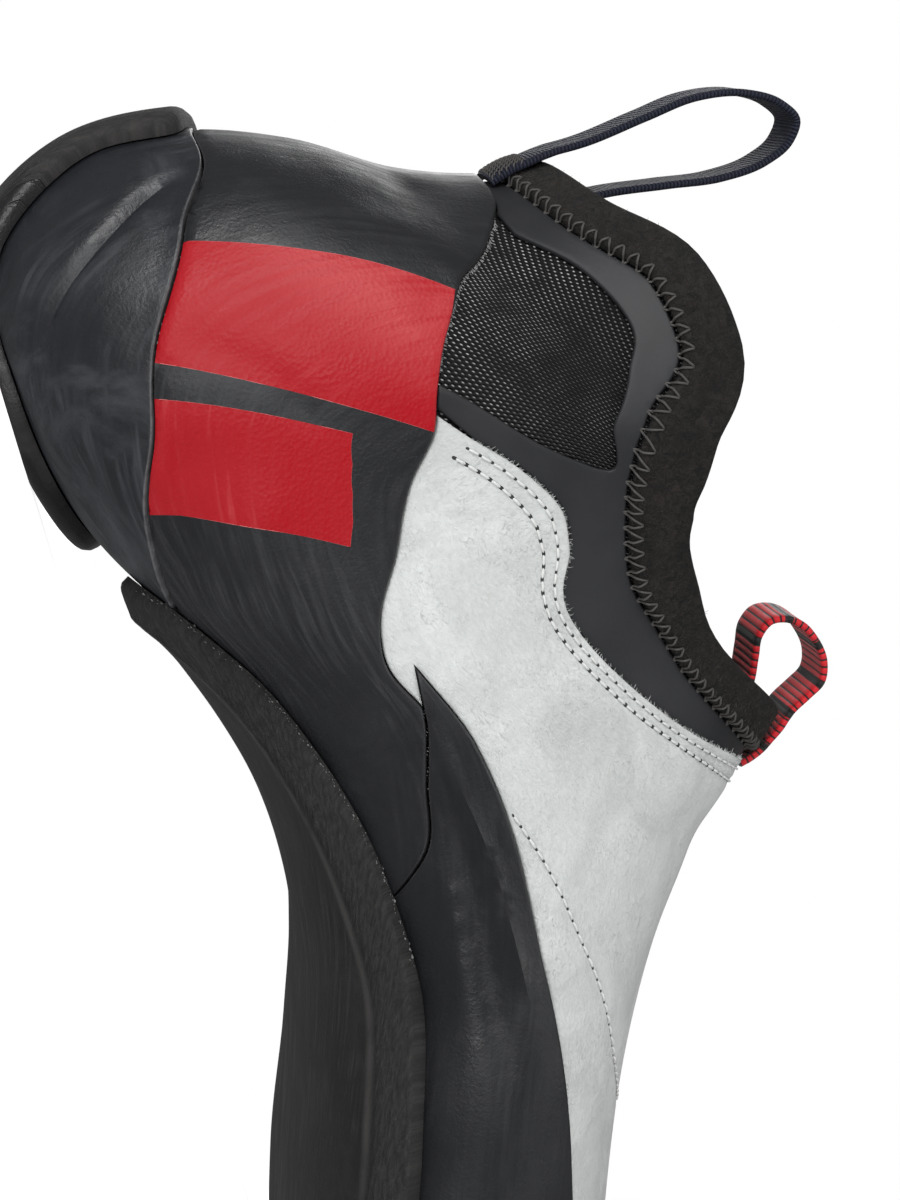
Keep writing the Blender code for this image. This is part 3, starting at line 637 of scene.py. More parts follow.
def cut(loops, lines, cell):
    """Triangles over the last inside the loops, with further lines (places, closed) cut into them."""
    marks = [(loop, True) for loop in loops] + list(lines)
    free = nodes_between(loops, cell)
    free_points = LAST.read(free)[0]
    clear = np.ones(len(free), bool)
    for places, closed in marks:
        reach = 0.45 * cell
        clear &= Line(places, closed).nearest(free_points, reach)[0] >= reach
    nodes = [tuple(place) for place in free[clear]]
    pairs = []
    for places, closed in marks:
        first = len(nodes)
        nodes.extend(map(tuple, places))
        count = len(places)
        pairs.extend((first + i, first + (i + 1) % count) for i in range(count if closed else count - 1))
    flat = [Vector(place) for place in LAST.flat(nodes) / MM]
    points, _, faces = delaunay_2d_cdt(flat, pairs, [], 0, 1e-4, False)[:3]
    places = np.array([tuple(point) for point in points]) * MM / (LAST.length, LAST.girth)
    places[:, 0] = np.clip(np.round(places[:, 0], 7), 0, 1)
    places[:, 1] = np.clip(np.round(places[:, 1], 7), -0.5, 0.5)
    faces = np.array([tuple(face) for face in faces])
    return places, faces[inside(places[faces].mean(1), loops)]


def rounding(distance, radius):
    """How far a rounded rim lies under the face, at a distance from the rim."""
    t = radius - np.minimum(distance, radius)
    return radius - np.sqrt(np.maximum(radius**2 - t**2, 0))


def unit(vectors):
    return vectors / (np.linalg.norm(vectors, axis=-1, keepdims=True) + NOTHING)


def fold_height(name, points):
    """Height of the piece's creases and swellings over its plain face."""
    height = np.zeros(len(points))
    for rise, width, rows in FOLDS.get(name, ()):
        distance, share = Line(smooth(rows)).nearest(points, FOLD_REACH * width * MM)
        ends = np.clip(np.minimum(share, 1 - share) * FOLD_FADE, 0, 1)
        ends = ends * ends * (3 - 2 * ends)
        height += rise * MM * np.exp(-((distance / (width * MM)) ** 2)) * ends
    return height


def mesh_of(name, points, faces, look, node=None, surface=None, kinds=None, second=None):
    """A shown piece that rides on the shoe, and stands for a node of the solids where one is named.

    Its surface attribute holds a vector for each corner, which is the corner's point unless one is given.
    """
    points = np.asarray(points)
    if surface is None:
        surface = points[[i for face in faces for i in face]]
    mesh = bpy.data.meshes.new(name)
    mesh.from_pydata(points.tolist(), [], [list(map(int, face)) for face in faces])
    mesh.update()
    attribute = mesh.attributes.new("surface", "FLOAT_VECTOR", "CORNER")
    attribute.data.foreach_set("vector", surface.astype(np.float32).ravel())
    mesh.materials.append(LOOKS[look])
    if second:
        mesh.materials.append(LOOKS[second])
        mesh.polygons.foreach_set("material_index", kinds.astype(np.int32))
    mesh.shade_smooth()
    mesh.set_sharp_from_angle(angle=SHARP_ANGLE)
    made = bpy.data.objects.new(name + "_look", mesh)
    bpy.context.scene.collection.objects.link(made)
    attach(made, "root")
    if node:
        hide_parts(node)


def side_faces(places, faces, under):
    """Triangles that close rims and steps. A face's lower points lie under[k] after its upper ones."""
    edges = {}
    for (a, b, c), start in zip(faces.tolist(), under.tolist()):
        for pair in ((a, b), (b, c), (c, a)):
            edges.setdefault((min(pair), max(pair)), []).append((*pair, start))
    sides = []
    for (a, b, first), *others in edges.values():
        pair = places[[a, b]]
        if not others and not (on_seam(pair).all() or at_tip(pair).all()):
            sides += [(b, a, a + first), (b, a + first, b + first)]
        if others and others[0][2] != first:
            second = others[0][2]
            sides += [(a + first, b + first, b + second), (a + first, b + second, a + second)]
    return np.array(sides, int).reshape(-1, 3)


def wall(name, loops, inner, outer, step=((), 0), lines=(), height=None, prints=()):
    """A closed wall over the last inside the loops, with rounded rims, creases and prints.

    Inside the step's loops it starts at the step's offset. The height is added to its outer face.
    """
    look, slot, cell, radius = WALLS[name]
    radius = radius * MM
    step_loops, step_inner = step
    marks = [(inset(loop, radius * share), True) for loop in loops for share in RIM_ROWS]
    marks += [(smooth(rows), False) for _, width, rows in FOLDS.get(name, ()) if width < SHARP_FOLD]
    marks += [(loop, True) for loop in (*step_loops, *prints)] + [(line, False) for line in lines]
    places, faces = cut(loops, marks, cell * MM)
    base = LAST.read(places)[0]
    rim = np.full(len(places), RIM_REACH)
    for loop in loops:
        border = on_seam(loop) | at_tip(loop)
        rim = np.minimum(rim, Line(loop[~border], closed=not border.any()).nearest(base, RIM_REACH)[0])
    top = outer + fold_height(name, base) * np.clip(rim / FOLD_INSET, 0, 1) - rounding(rim, radius)
    if height is not None:
        top = top + height(places, rim)
    middle = places[faces].mean(1)
    low = np.where(inside(middle, step_loops), step_inner, inner)
    bottoms = {offset: LAST.place(places, offset) for offset in np.unique(low)}
    points = np.concatenate([LAST.place(places, top), *bottoms.values()])
    starts = {offset: len(places) * (k + 1) for k, offset in enumerate(bottoms)}
    under = np.array([starts[offset] for offset in low])
    every = np.concatenate([faces, faces[:, ::-1] + under[:, None], side_faces(places, faces, under)])
    place_of = every % len(places)
    surface = np.concatenate([LAST.flat(places[place_of]), rim[place_of][..., None]], -1)
    kinds = np.zeros(len(every), int)
    kinds[:len(faces)] = inside(middle, prints)
    _, keep, back = np.unique(np.round(points, 7), axis=0, return_index=True, return_inverse=True)
    merged = back.ravel()[every]
    good = (merged != np.roll(merged, 1, axis=1)).all(1)
    used, compact = np.unique(merged[good], return_inverse=True)
    mesh_of(name, points[keep][used], compact.reshape(-1, 3), look, name, surface[good],
            kinds[good], "print" if prints else None)


def seamed(loop):
    """The outline without its half of the seam's gap."""
    return inset(loop, CLEARANCE / 2)


def past_collar(distance):
    return shifted(whole(edge("collar")), -distance)


def outline(name):
    return smooth(OUTLINES[name], closed=True)


def piece_upper():
    wall("upper", [over_toe(edge("collar")), outline("opening")], 0, UPPER_WALL)


def piece_insole():
    wall("insole", [outline("insole")], -CLEARANCE - INSOLE_WALL, -CLEARANCE)


def seam_rows():
    """The stitched rows on both sides of the suede: places, hole size, and how much they follow creases."""
    top = edge("suede_top")[1:]
    rows = [(shifted(top, below * MM), hole, felt) for below, hole, felt in EDGE_SEAMS]
    rows.append((smooth(SEAM), *SECOND_SEAM))
    return [(row * (1, side), hole * MM, felt) for row, hole, felt in rows for side in (1, -1)]


def piece_quarter():
    front = stretch(edge("band_front"), EDGES["suede_top"][0][0], 0)
    half = np.concatenate([front, edge("rand_top")[::-1], edge("suede_top")[::-1]])
    rows = [row for row, _, _ in seam_rows()]
    seams = [Line(row) for row in rows]

    def groove(places, rim):
        points = LAST.read(places)[0]
        near = np.min([seam.nearest(points, 3 * MM)[0] for seam in seams], axis=0)
        return -GROOVE_DEPTH * np.exp(-((near / GROOVE_WIDTH) ** 2))

    wall("quarter", [seamed(half), seamed(half * (1, -1))], SKIN, SUEDE_FACE, lines=rows, height=groove)


def piece_front_rand():
    chain = np.concatenate([edge("rand_top"), edge("band_sole")])[::-1]
    wall("front_rand", [seamed(over_toe(chain)), outline("opening")], SKIN, RUBBER_FACE)


def print_outlines():
    """The closed outlines of the printed blocks, on both sides."""
    found = []
    for corners in BLOCKS:
        sides = zip(corners, corners[1:] + corners[:1])
        block = np.concatenate([np.linspace(a, b, PRINT_STEPS, endpoint=False) for a, b in sides])
        found += [block, mirrored(block)]
    return found


def band_loops(rim_margin, cup_margin):
    """The heel band's outline and its opening for the cup, each moved into the band."""
    chain = np.concatenate([edge("band_front"), edge("band_sole")[1:]])
    return [inset(ring(chain), rim_margin), inset(ring(edge("cup")), -cup_margin)]


def piece_heel_band():
    loops = band_loops(CLEARANCE / 2, CLEARANCE / 2)
    wall("heel_band", loops, SKIN, RUBBER_FACE, prints=print_outlines())


def piece_heel_cup():
    def lip(places, rim):
        return LIP_RISE * np.clip(1 - rim / LIP_WIDTH, 0, 1) ** 2

    wall("heel_cup", [seamed(ring(edge("cup")))], SKIN, RUBBER_FACE, height=lip)


def piece_heel_patch():
    wall("heel_patch", [outline("patch")], SOLE_BACK, PATCH_FACE)


def piece_outsole():
    def bevel(places, rim):
        fade = np.clip((places[:, 0] - SOLE_FADE[0]) / (SOLE_FADE[1] - SOLE_FADE[0]), 0, 1)
        slope = np.clip(1 - rim / SOLE_BEVEL, 0, 1) ** BEVEL_CURVE
        crest = CREST_RISE * np.exp(-(((rim - SOLE_BEVEL) / CREST_WIDTH) ** 2))
        return (crest - (SOLE_FACE - SOLE_BACK - SOLE_EDGE) * slope) * fade

    bed = inset(outline("opening"), CLEARANCE)
    wall("outsole", [outline("outsole")], SOLE_BACK, SOLE_FACE, step=([bed], 0), height=bevel)


def piece_collar_film():
    band, window = edge("band_front"), edge("window")
    behind = stretch(band, 1, window[-1][0])
    below = stretch(band, window[0][0], EDGES["suede_top"][0][0])
    low = np.concatenate([behind, window[::-1], below, edge("suede_top")])
    wall("collar_film", [seamed(strip(whole(low), past_collar(-BINDING_WIDTH)))], SKIN, FILM_FACE)


def piece_collar_binding():
    foot, start, stop = (past_collar(CLEARANCE + up) for up in (-BINDING_WIDTH, 0, BINDING_LIP))
    line = Line(foot)

    def puckers(places, rim):
        distance, share = line.nearest(LAST.read(places)[0], 5 * MM)
        wave = 0.5 + 0.5 * np.cos(share * line.far[-1] / ZIGZAG_PITCH * 2 * pi)
        return -PUCKER_DEPTH * wave * np.exp(-((distance / PUCKER_REACH) ** 2))

    wall("collar_binding", [strip(foot, stop)], SKIN, BINDING_FACE, step=([strip(start, stop)], 0),
         height=puckers)


def side_path(around, rise):
    """The middle of a pull loop's ribbon seen from the side, from its outer end to its inner one.

    It gives the distance along the ribbon, points (X, Z), the way on, the way out, and the middle's Y.
    """
    collar = EDGES["collar"][0 if around == 0 else -1][0]
    metres_along, metres_around = scale_at([(collar, around)])[0]
    rows = len(SEWN_SINK)
    down = np.linspace(collar - LOOP_SEWN / metres_along, collar, rows)
    slack = LOOP_SLACK + RIBBON_WALL / 2
    face = RUBBER_FACE + slack - np.array(SEWN_SINK) * MM
    outer_run = LAST.place(np.stack([down, np.full(rows, around)], 1), face)
    aside = RIBBON_WIDTH / 2 / metres_around
    flanks = (aside, -aside) if around == 0 else (around - aside, aside - around)
    runs = [LAST.place(np.stack([down, np.full(rows, flank)], 1), -slack) for flank in flanks]
    inner_run = max(runs, key=lambda each: np.linalg.norm((each - outer_run)[:, [0, 2]], axis=-1).sum())
    upward = (outer_run[-1] - outer_run[-2]) * (1, 0, 1)
    upward = upward / np.linalg.norm(upward)
    inward = (inner_run[-1] - outer_run[-1]) * (1, 0, 1)
    inward -= upward * (inward @ upward)
    free = [outer_run[-1] + inward * (1 - out) + upward * share * rise for share, out in LOOP_SHAPE]
    path = np.concatenate([outer_run, free, inner_run[::-1]])[:, [0, 2]]
    knots = lengths(path)
    far = np.linspace(0, knots[-1], int(knots[-1] / LOOP_STEP))
    points = hermite(knots, path, far)
    way = unit(np.gradient(points, axis=0))
    out = np.stack([-way[:, 1], way[:, 0]], 1)
    return far, points, way, -out if around else out, outer_run[-1][1]


def bowed(across, far):
    """How far the ribbon's sewn outer end bends round the last, at a distance from its middle line."""
    return (SEWN_ROUND - np.sqrt(SEWN_ROUND**2 - across**2)) * np.clip(SEWN_FADE - far / LOOP_SEWN, 0, 1)


def piece_pull_loop(name, around, rise, look):
    """A loop of ribbon with rounded edges, sewn outside and inside the collar."""
    far, path, _, side, middle = side_path(around, rise)
    half, thick = RIBBON_WIDTH / 2, RIBBON_WALL / 2
    profile = [(a * half, u * thick) for a, u in RIBBON_SHAPE]
    profile += [(a, -u) for a, u in profile[::-1]]
    count = len(profile)
    points, surface = [], []
    for (x, z), (out_x, out_z), run in zip(path, side, far):
        for a, u in profile:
            up = u - bowed(a, run)
            points.append((x + out_x * up, middle + a, z + out_z * up))
            surface.append((run, a, 0))
    faces = []
    for first in range(0, len(points) - count, count):
        for j in range(count):
            a, b = first + j, first + (j + 1) % count
            faces.append((a, b, b + count, a + count))
    faces += [range(count - 1, -1, -1), range(len(points) - count, len(points))]
    corners = np.array(surface)[[i for face in faces for i in face]]
    mesh_of(name, points, faces, look, name, corners)


def beside(places, distance):
    """Places moved to the left of their own curve by a real distance."""
    scale = scale_at(places)
    way = unit(np.gradient(places, axis=0) * scale)
    return places + np.stack([-way[:, 1], way[:, 0]], 1) * np.reshape(distance, (-1, 1)) / scale


def evenly(places, pitch):
    """Places at an even pitch along a curve."""
    far = lengths(LAST.read(places)[0])
    at = np.linspace(0, far[-1], max(int(far[-1] / pitch), 1) + 1)
    return np.stack([np.interp(at, far, places[:, k]) for k in (0, 1)], 1)


def tubes(name, threads, radius, look, sides=6):
    """Short threads as one mesh. Each is a row of points, and the surface's direction at each point."""
    points, faces = [], []
    angle = np.arange(sides)[:, None] * 2 * pi / sides
    for path, way in threads:
        ahead = unit(np.gradient(path, axis=0))
        aside = unit(np.cross(ahead, way))
        above = np.cross(aside, ahead)
        thick = radius * np.sqrt(1 - THREAD_TAPER * np.linspace(-1, 1, len(path)) ** TAPER_POWER)
        start = len(points)
        for k in range(len(path)):
            points.extend(path[k] + thick[k] * (np.cos(angle) * above[k] + np.sin(angle) * aside[k]))
        for first in range(start, len(points) - sides, sides):
            for j in range(sides):
                a, b = first + j, first + (j + 1) % sides
                faces.append((a, b, b + sides, a + sides))
        faces += [range(start + sides - 1, start - 1, -1), range(len(points) - sides, len(points))]
    mesh_of(name, points, faces, look)


def discs(name, rows, look, long=1.0, sides=8):
    """Small flat domes as one mesh. Each row is a centre, the surface's direction, a size and a long axis."""
    points, faces = [], []
    angle = np.arange(sides)[:, None] * 2 * pi / sides
    for centre, way, size, axis in rows:
        axis = unit(axis)
        first = len(points)
        points.append(centre + way * size * DOME_RISE)
        points.extend(centre + size * (long * np.cos(angle) * axis + np.sin(angle) * np.cross(way, axis)))
        points.append(centre - way * size * DOME_DEPTH)
        for k in range(sides):
            a, b = first + 1 + k, first + 1 + (k + 1) % sides
            faces += [(first, a, b), (first + sides + 1, b, a)]
    mesh_of(name, points, faces, look)


def thread(start, stop, heights):
    """A straight thread between two places at its heights over the last: points and directions."""
    share = np.linspace(0, 1, len(heights))[:, None]
    points, ways = LAST.read(start * (1 - share) + stop * share)
    return points + ways * heights[:, None], ways


def piece_seams():
    """Stitches of pale thread on the suede, and dark domes at the needle holes between them, which paint the
    holes' shade.
    """
    share = np.linspace(0, 1, 7)
    arch = STITCH_RISE * np.sin(pi * share) ** 0.5 - STITCH_SUNK
    threads, holes = [], []
    for row, hole, felt in seam_rows():
        places = evenly(row, STITCH_PITCH)
        points, outward = LAST.read(places)
        face = SUEDE_FACE + felt * fold_height("quarter", points)
        for k, run in enumerate(np.diff(places, axis=0)):
            heights = face[k] + (face[k + 1] - face[k]) * share + arch
            ends = places[k] + run * STITCH_START, places[k + 1] - run * STITCH_STOP
            threads.append(thread(*ends, heights))
        # Dark domes in the seam's groove paint the shade inside the needle holes.
        centres = points + outward * (face - HOLE_SUNK)[:, None]
        holes += zip(centres, outward, [hole] * len(places), np.gradient(points, axis=0))
    tubes("seam_threads", threads, STITCH_RADIUS, "pale_thread")
    discs("seam_hole_shades", holes, "hole", HOLE_LENGTH)


def piece_zigzag():
    """The zigzag that holds the binding to the film."""
    foot = evenly(past_collar(CLEARANCE - BINDING_WIDTH), ZIGZAG_PITCH / 2)
    turns = beside(foot, np.where(np.arange(len(foot)) % 2 == 0, *ZIGZAG_REACH))
    share = np.linspace(0, 1, 12)
    on_felt = np.clip((share - CLIMB_START) / CLIMB_LENGTH, 0, 1)
    climb = FILM_FACE + (BINDING_FACE - FILM_FACE - CLIMB_INSET) * np.sqrt(1 - (1 - on_felt) ** 2)
    climb += ZIGZAG_RADIUS * 0.7 - ZIGZAG_DIP * np.abs(2 * share - 1) ** 8
    heights = (climb, climb[::-1])
    threads = [thread(turns[k], turns[k + 1], heights[k % 2]) for k in range(len(turns) - 1)]
    tubes("binding_stitches", threads, ZIGZAG_RADIUS, "thread")


def off_row(row, side, distance):
    """Points of a row on one side, the surface's direction there, and the way off the row to its right."""
    points, outward = LAST.read(row * (1, side))
    moved = LAST.read(beside(row, distance) * (1, side))[0]
    return zip(points, outward, unit((points - moved) * np.sign(distance)))


def piece_fibres():
    """Short fibres that stand out of the suede's cut edge."""
    rng = np.random.default_rng(7)
    row = evenly(edge("suede_top"), SUEDE_FIBRE_PITCH)
    threads = []
    for side in (1, -1):
        for point, way, out in off_row(row, side, 0.5 * MM):
            aim = out + 0.45 * rng.normal(0, 1, 3) + way * rng.uniform(-0.3, 0.3)
            reach = 0.3 * MM + rng.uniform(0.05, 0.34) * MM * rng.uniform(0.3, 1)
            start = point + way * (SUEDE_FACE - rng.uniform(0.15, 0.9) * MM) - out * 0.3 * MM
            path = start + aim * reach * np.linspace(0, 1, 3)[:, None]
            threads.append((path, np.repeat(way[None], 3, 0)))
    tubes("suede_fibres", threads, SUEDE_FIBRE_RADIUS, "suede", sides=3)


def piece_felt_fibres():
    """Loose fibres that lie over the felt binding."""
    rng = np.random.default_rng(11)
    row = evenly(past_collar(CLEARANCE - BINDING_WIDTH), FELT_FIBRE_PITCH)
    width = BINDING_WIDTH + BINDING_LIP - 2 * CLEARANCE
    radius = WALLS["collar_binding"][-1] * MM
    run = np.linspace(0, 1, 4)[:, None]
    threads = []
    for _ in range(FELT_FIBRE_LAYERS):
        share = rng.uniform(0, 1, len(row))
        points, outward = LAST.read(beside(row, -share * width))
        for point, way, far in zip(points, outward, np.minimum(share, 1 - share) * width):
            aim = rng.normal(0, 1, 3)
            aim = unit(aim - aim @ way * way)
            bend = np.cross(way, aim) * rng.uniform(-0.25, 0.25) * MM
            start = point + way * (BINDING_FACE - rounding(far, radius) - 0.04 * MM)
            reach = rng.uniform(0.35, 1.0) * MM
            path = start + aim * reach * run + bend * run**2 + way * rng.uniform(0.03, 0.2) * MM * run
            threads.append((path, np.repeat(way[None], 4, 0)))
    tubes("felt_fibres", threads, FELT_FIBRE_RADIUS, "fibre", sides=3)


def piece_fray():
    """Pale thread ends along the band's edge, over the mesh."""
    rng = np.random.default_rng(3)
    row = evenly(stretch(edge("band_front"), FRAY_HIGH, FRAY_LOW), FRAY_PITCH)
    run = np.linspace(0, 1, 4)[:, None]
    threads = []
    for side in (1, -1):
        for point, way, out in off_row(row, side, -0.5 * MM):
            aim = out * rng.uniform(0.2, 0.55) * MM + 0.12 * MM * rng.normal(0, 1, 3)
            start = point + way * (SKIN + rng.uniform(0.1, 0.5) * MM)
            threads.append((start + aim * run - way * 0.25 * MM * run**2, np.repeat(way[None], 4, 0)))
    tubes("band_fray", threads, FRAY_RADIUS, "fray", sides=4)


def piece_specks():
    """Glossy crumbs of trimmed rubber along the lobe's upper edge, painted pale grey as highlights."""
    rng = np.random.default_rng(5)
    rim = outline("outsole")
    row = evenly(rim[(rim > CRUMBS_FROM).all(1)], CRUMB_PITCH)
    points, ways = LAST.read(beside(row, rng.normal(0, 0.10, len(row)) * MM))
    deep = SOLE_BACK + rng.uniform(0.1, SOLE_EDGE / MM) * MM
    centres = points + ways * (deep + rng.normal(0, 0.25, len(row)) * MM)[:, None]
    sizes = CRUMB_SIZE + rng.exponential(0.06, len(row)) * MM
    rows = zip(centres, ways, sizes, np.cross(ways, (1.0, 0, 0)))
    discs("edge_crumbs", rows, "speck", sides=5)


def piece_print_edges():
    """The fine pale line round each printed block."""
    inner = band_loops(*PRINT_MARGINS)
    threads = []
    for block in print_outlines():
        places = evenly(np.concatenate([block, block[:1]]), PRINT_LINE_PITCH)
        points, outward = LAST.read(places)
        face = RUBBER_FACE + fold_height("heel_band", points) - PRINT_LINE_SUNK
        path = points + outward * face[:, None]
        kept = inside(places, inner)
        threads += [(path[k:k + 2], outward[k:k + 2]) for k in np.flatnonzero(kept[:-1] & kept[1:])]
    tubes("print_edges", threads, PRINT_LINE_RADIUS, "print_edge", sides=5)


def piece_tack():
    """Dense stitches that hold the heel's pull loop, across the ribbon's sewn end."""
    far, path, way, side, middle = side_path(0, HEEL_LOOP_RISE)
    share = np.linspace(-1, 1, 6)
    run = share * TACK_REACH
    on = np.array([way[2, 0], 0, way[2, 1]])
    threads = []
    for row in range(TACK_ROWS):
        at = TACK_START + row * TACK_ROW_PITCH
        x, z, out_x, out_z = (np.interp(at, far, values) for values in (*path.T, *side.T))
        for column in range(TACK_COLUMNS):
            shift = TACK_INSET + column * TACK_COLUMN_PITCH + TACK_SHIFT * (row % 2)
            across = shift - RIBBON_WIDTH / 2 + run * TACK_ACROSS
            rise = RIBBON_WALL / 2 * RIBBON_FACE + TACK_RISE - bowed(across, at)
            rise = rise - TACK_DIP * share**TAPER_POWER
            points = np.stack([x + out_x * rise, middle + across, z + out_z * rise], 1)
            points += on * (run * TACK_ALONG)[:, None]
            threads.append((points, np.repeat([[out_x, 0, out_z]], len(share), 0)))
    tubes("loop_stitches", threads, TACK_RADIUS, "thread")


class Look:
    """A Principled material whose colour, roughness and bump come from its nodes."""

    def __init__(self, name, **fixed):
        self.material = bpy.data.materials.new(name)
        self.material.use_nodes = True
        self.tree = self.material.node_tree
        self.shader = self.tree.nodes["Principled BSDF"]
        for socket, value in fixed.items():
            self.shader.inputs[socket.replace("_", " ")].default_value = value
        self.object = self.add("ShaderNodeTexCoord").outputs["Object"]
        self.surface = self.add("ShaderNodeAttribute", attribute_name="surface").outputs["Vector"]
        self.normal = None

    def add(self, kind, inputs=(), **settings):
        node = self.tree.nodes.new(kind)
        for key, value in settings.items():
            setattr(node, key, value)
        for key, value in dict(inputs).items():
            self.put(node.inputs[key], value)
        return node

    def put(self, socket, value):
        if isinstance(value, bpy.types.NodeSocket):
            self.tree.links.new(value, socket)
        else:
            socket.default_value = value

    def noise(self, scale, detail=3.0, rough=0.55, distortion=0.0, vector=None):
        inputs = {"Scale": scale, "Detail": detail, "Roughness": rough, "Distortion": distortion}
        inputs["Vector"] = self.object if vector is None else vector
        return self.add("ShaderNodeTexNoise", inputs).outputs["Fac"]

    def turned(self, angle, scale_x, scale_y):
        """The surface's coordinates, turned and scaled."""
        inputs = {"Vector": self.surface, "Rotation": (0, 0, angle), "Scale": (scale_x, scale_y, 1)}
        return self.add("ShaderNodeMapping", inputs).outputs[0]

    def brushed(self, angle, scale_x, scale_y, *grain):
        """Noise drawn out into streaks over the surface."""
        return self.noise(1.0, *grain, vector=self.turned(angle, scale_x, scale_y))

    def math(self, operation, *values):
        node = self.add("ShaderNodeMath", operation=operation)
        for socket, value in zip(node.inputs, values):
            self.put(socket, value)
        return node.outputs[0]

    def times(self, *values):
        return reduce(lambda a, b: self.math("MULTIPLY", a, b), values)

    def most(self, *values):
        return reduce(lambda a, b: self.math("MAXIMUM", a, b), values)

    def plus(self, a, b):
        return self.math("ADD", a, b)

    def sine(self, value, factor):
        return self.math("SINE", self.times(value, factor))

    def ribs(self, pitch):
        """Ridges across a ribbon at a pitch along it."""
        return self.math("ABSOLUTE", self.sine(self.axis("X"), pi / pitch))

    def span(self, value, low, high, to_low=0.0, to_high=1.0):
        inputs = {"Value": value, "From Min": low, "From Max": high, "To Min": to_low, "To Max": to_high}
        return self.add("ShaderNodeMapRange", inputs, interpolation_type="SMOOTHSTEP").outputs[0]

    def mix(self, factor, low, high):
        node = self.add("ShaderNodeMix", data_type="RGBA")
        self.put(node.inputs[0], factor)
        self.put(node.inputs[6], (*low, 1) if isinstance(low, tuple) else low)
        self.put(node.inputs[7], (*high, 1) if isinstance(high, tuple) else high)
        return node.outputs[2]

    def axis(self, name, vector=None):
        vector = self.surface if vector is None else vector
        return self.add("ShaderNodeSeparateXYZ", {"Vector": vector}).outputs[name]

    def bump(self, height, distance):
        inputs = {"Height": height, "Distance": distance}
        if self.normal is not None:
            inputs["Normal"] = self.normal
        self.normal = self.add("ShaderNodeBump", inputs).outputs[0]

    def done(self, colour, roughness):
        self.put(self.shader.inputs["Base Color"], colour)
        self.put(self.shader.inputs["Roughness"], roughness)
        if self.normal is not None:
            self.put(self.shader.inputs["Normal"], self.normal)
        return self.material


def rubber(name, dark, light, gloss, turn, dimples=0.5 * MM, sheen_patches=0.25, pale=0.0, rough_from=None,
           feather=4 * MM, crest=None):
    """Rubber with brushed streaks and grain, paler streaks and patches that are partly dust and partly
    painted sheen, and a painted highlight on its rims.

    It is rough past the place in rough_from, and paler along a crest at a distance from its rim, a painted
    highlight.
    """
    look = Look(name, Specular_IOR_Level=0.42)
    streaks = look.brushed(turn, 55, 1100, 5.0, 0.6, 0.3)
    bloom = look.noise(34, 4.0, 0.6, 0.5)
    specks = look.noise(700)
    # Painted sheen: paler smoky patches that stand in for soft reflections of the lamps.
    sheen_clouds = look.span(look.noise(52, 5.0, 0.62, 1.1), 0.46, 0.74, 0.0, sheen_patches)
    # Paler brushed streaks and specks, partly dust and partly painted sheen, joined with the painted sheen
    # patches.
    dust_and_sheen = look.times(look.span(streaks, 0.40, 0.75), look.span(bloom, 0.42, 0.72))
    dust_and_sheen = look.most(dust_and_sheen, look.span(specks, 0.68, 0.80, 0.0, 0.35), sheen_clouds)
    roughness = look.plus(look.span(streaks, 0.3, 0.7, *gloss), look.span(bloom, 0.35, 0.65, -0.06, 0.08))
    if rough_from:
        place, low, high = rough_from
        hairs = look.brushed(turn, 150, 2200, 3.0, 0.6)
        scratches = look.brushed(turn, 420, 2600, 5.0, 0.75)
        value = look.plus(look.axis(place), look.span(hairs, 0.2, 0.8, -feather, feather))
        worn = look.span(value, low, high)
        dust_and_sheen = look.most(dust_and_sheen, look.times(worn, look.span(scratches, 0.35, 0.7, 0.1, 0.8)))
        roughness = look.most(roughness, look.times(worn, 0.75))
        look.bump(look.times(worn, scratches), 0.5 * MM)
    look.bump(look.noise(85, 2.0, 0.4, 0.3), dimples)
    look.bump(streaks, 0.025 * MM)
    look.bump(look.noise(1900, 3.0, 0.6), 0.07 * MM)
    if crest:
        # Painted highlight: paler along the sole's rounded crest, where it would catch the lamp.
        ridge = look.math("ABSOLUTE", look.math("SUBTRACT", look.axis("Z"), crest))
        crest_highlight = look.times(look.span(ridge, 1.1 * MM, 0, 0, 0.9), look.span(bloom, 0.35, 0.60, 0.25, 1.0))
        dust_and_sheen = look.most(dust_and_sheen, crest_highlight)
    # Painted highlight: paler grey in specks close to each rim, as strong as pale.
    rim = look.span(look.axis("Z"), 0.26 * MM, 0.10 * MM)
    rim = look.times(rim, look.span(specks, 0.35, 0.60, 0.6 * pale, pale))
    return look.done(look.mix(rim, look.mix(dust_and_sheen, dark, light), (0.150, 0.150, 0.155)), roughness)


def red_print():
    """Red print with brushed wear, and a painted highlight that makes the upper block paler."""
    look = Look("red print", Specular_IOR_Level=0.24)
    streaks = look.brushed(0.2, 40, 900, 5.0, 0.65, 0.3)
    bloom = look.noise(40, 4.0, 0.6, 0.5)
    worn = look.times(look.span(streaks, 0.50, 0.85), look.span(bloom, 0.45, 0.72))
    # Painted highlight: the upper block paler in brushed streaks, where it would reflect the lamp.
    upper = look.span(look.axis("X"), 0.722 * LAST.length, 0.775 * LAST.length)
    upper_highlight = look.times(upper, look.span(streaks, 0.30, 0.65, 0.25, 0.80))
    upper_highlight = look.times(upper_highlight, look.span(bloom, 0.30, 0.55, 0.4, 1.0))
    look.bump(streaks, 0.04 * MM)
    cells = look.add("ShaderNodeTexVoronoi", {"Vector": look.object, "Scale": 1700}, feature="F1")
    look.bump(cells.outputs["Distance"], 0.05 * MM)
    tint = look.mix(look.most(worn, upper_highlight), (0.275, 0.0004, 0.0050), (0.37, 0.046, 0.049))
    return look.done(tint, look.span(streaks, 0.3, 0.7, 0.40, 0.54))


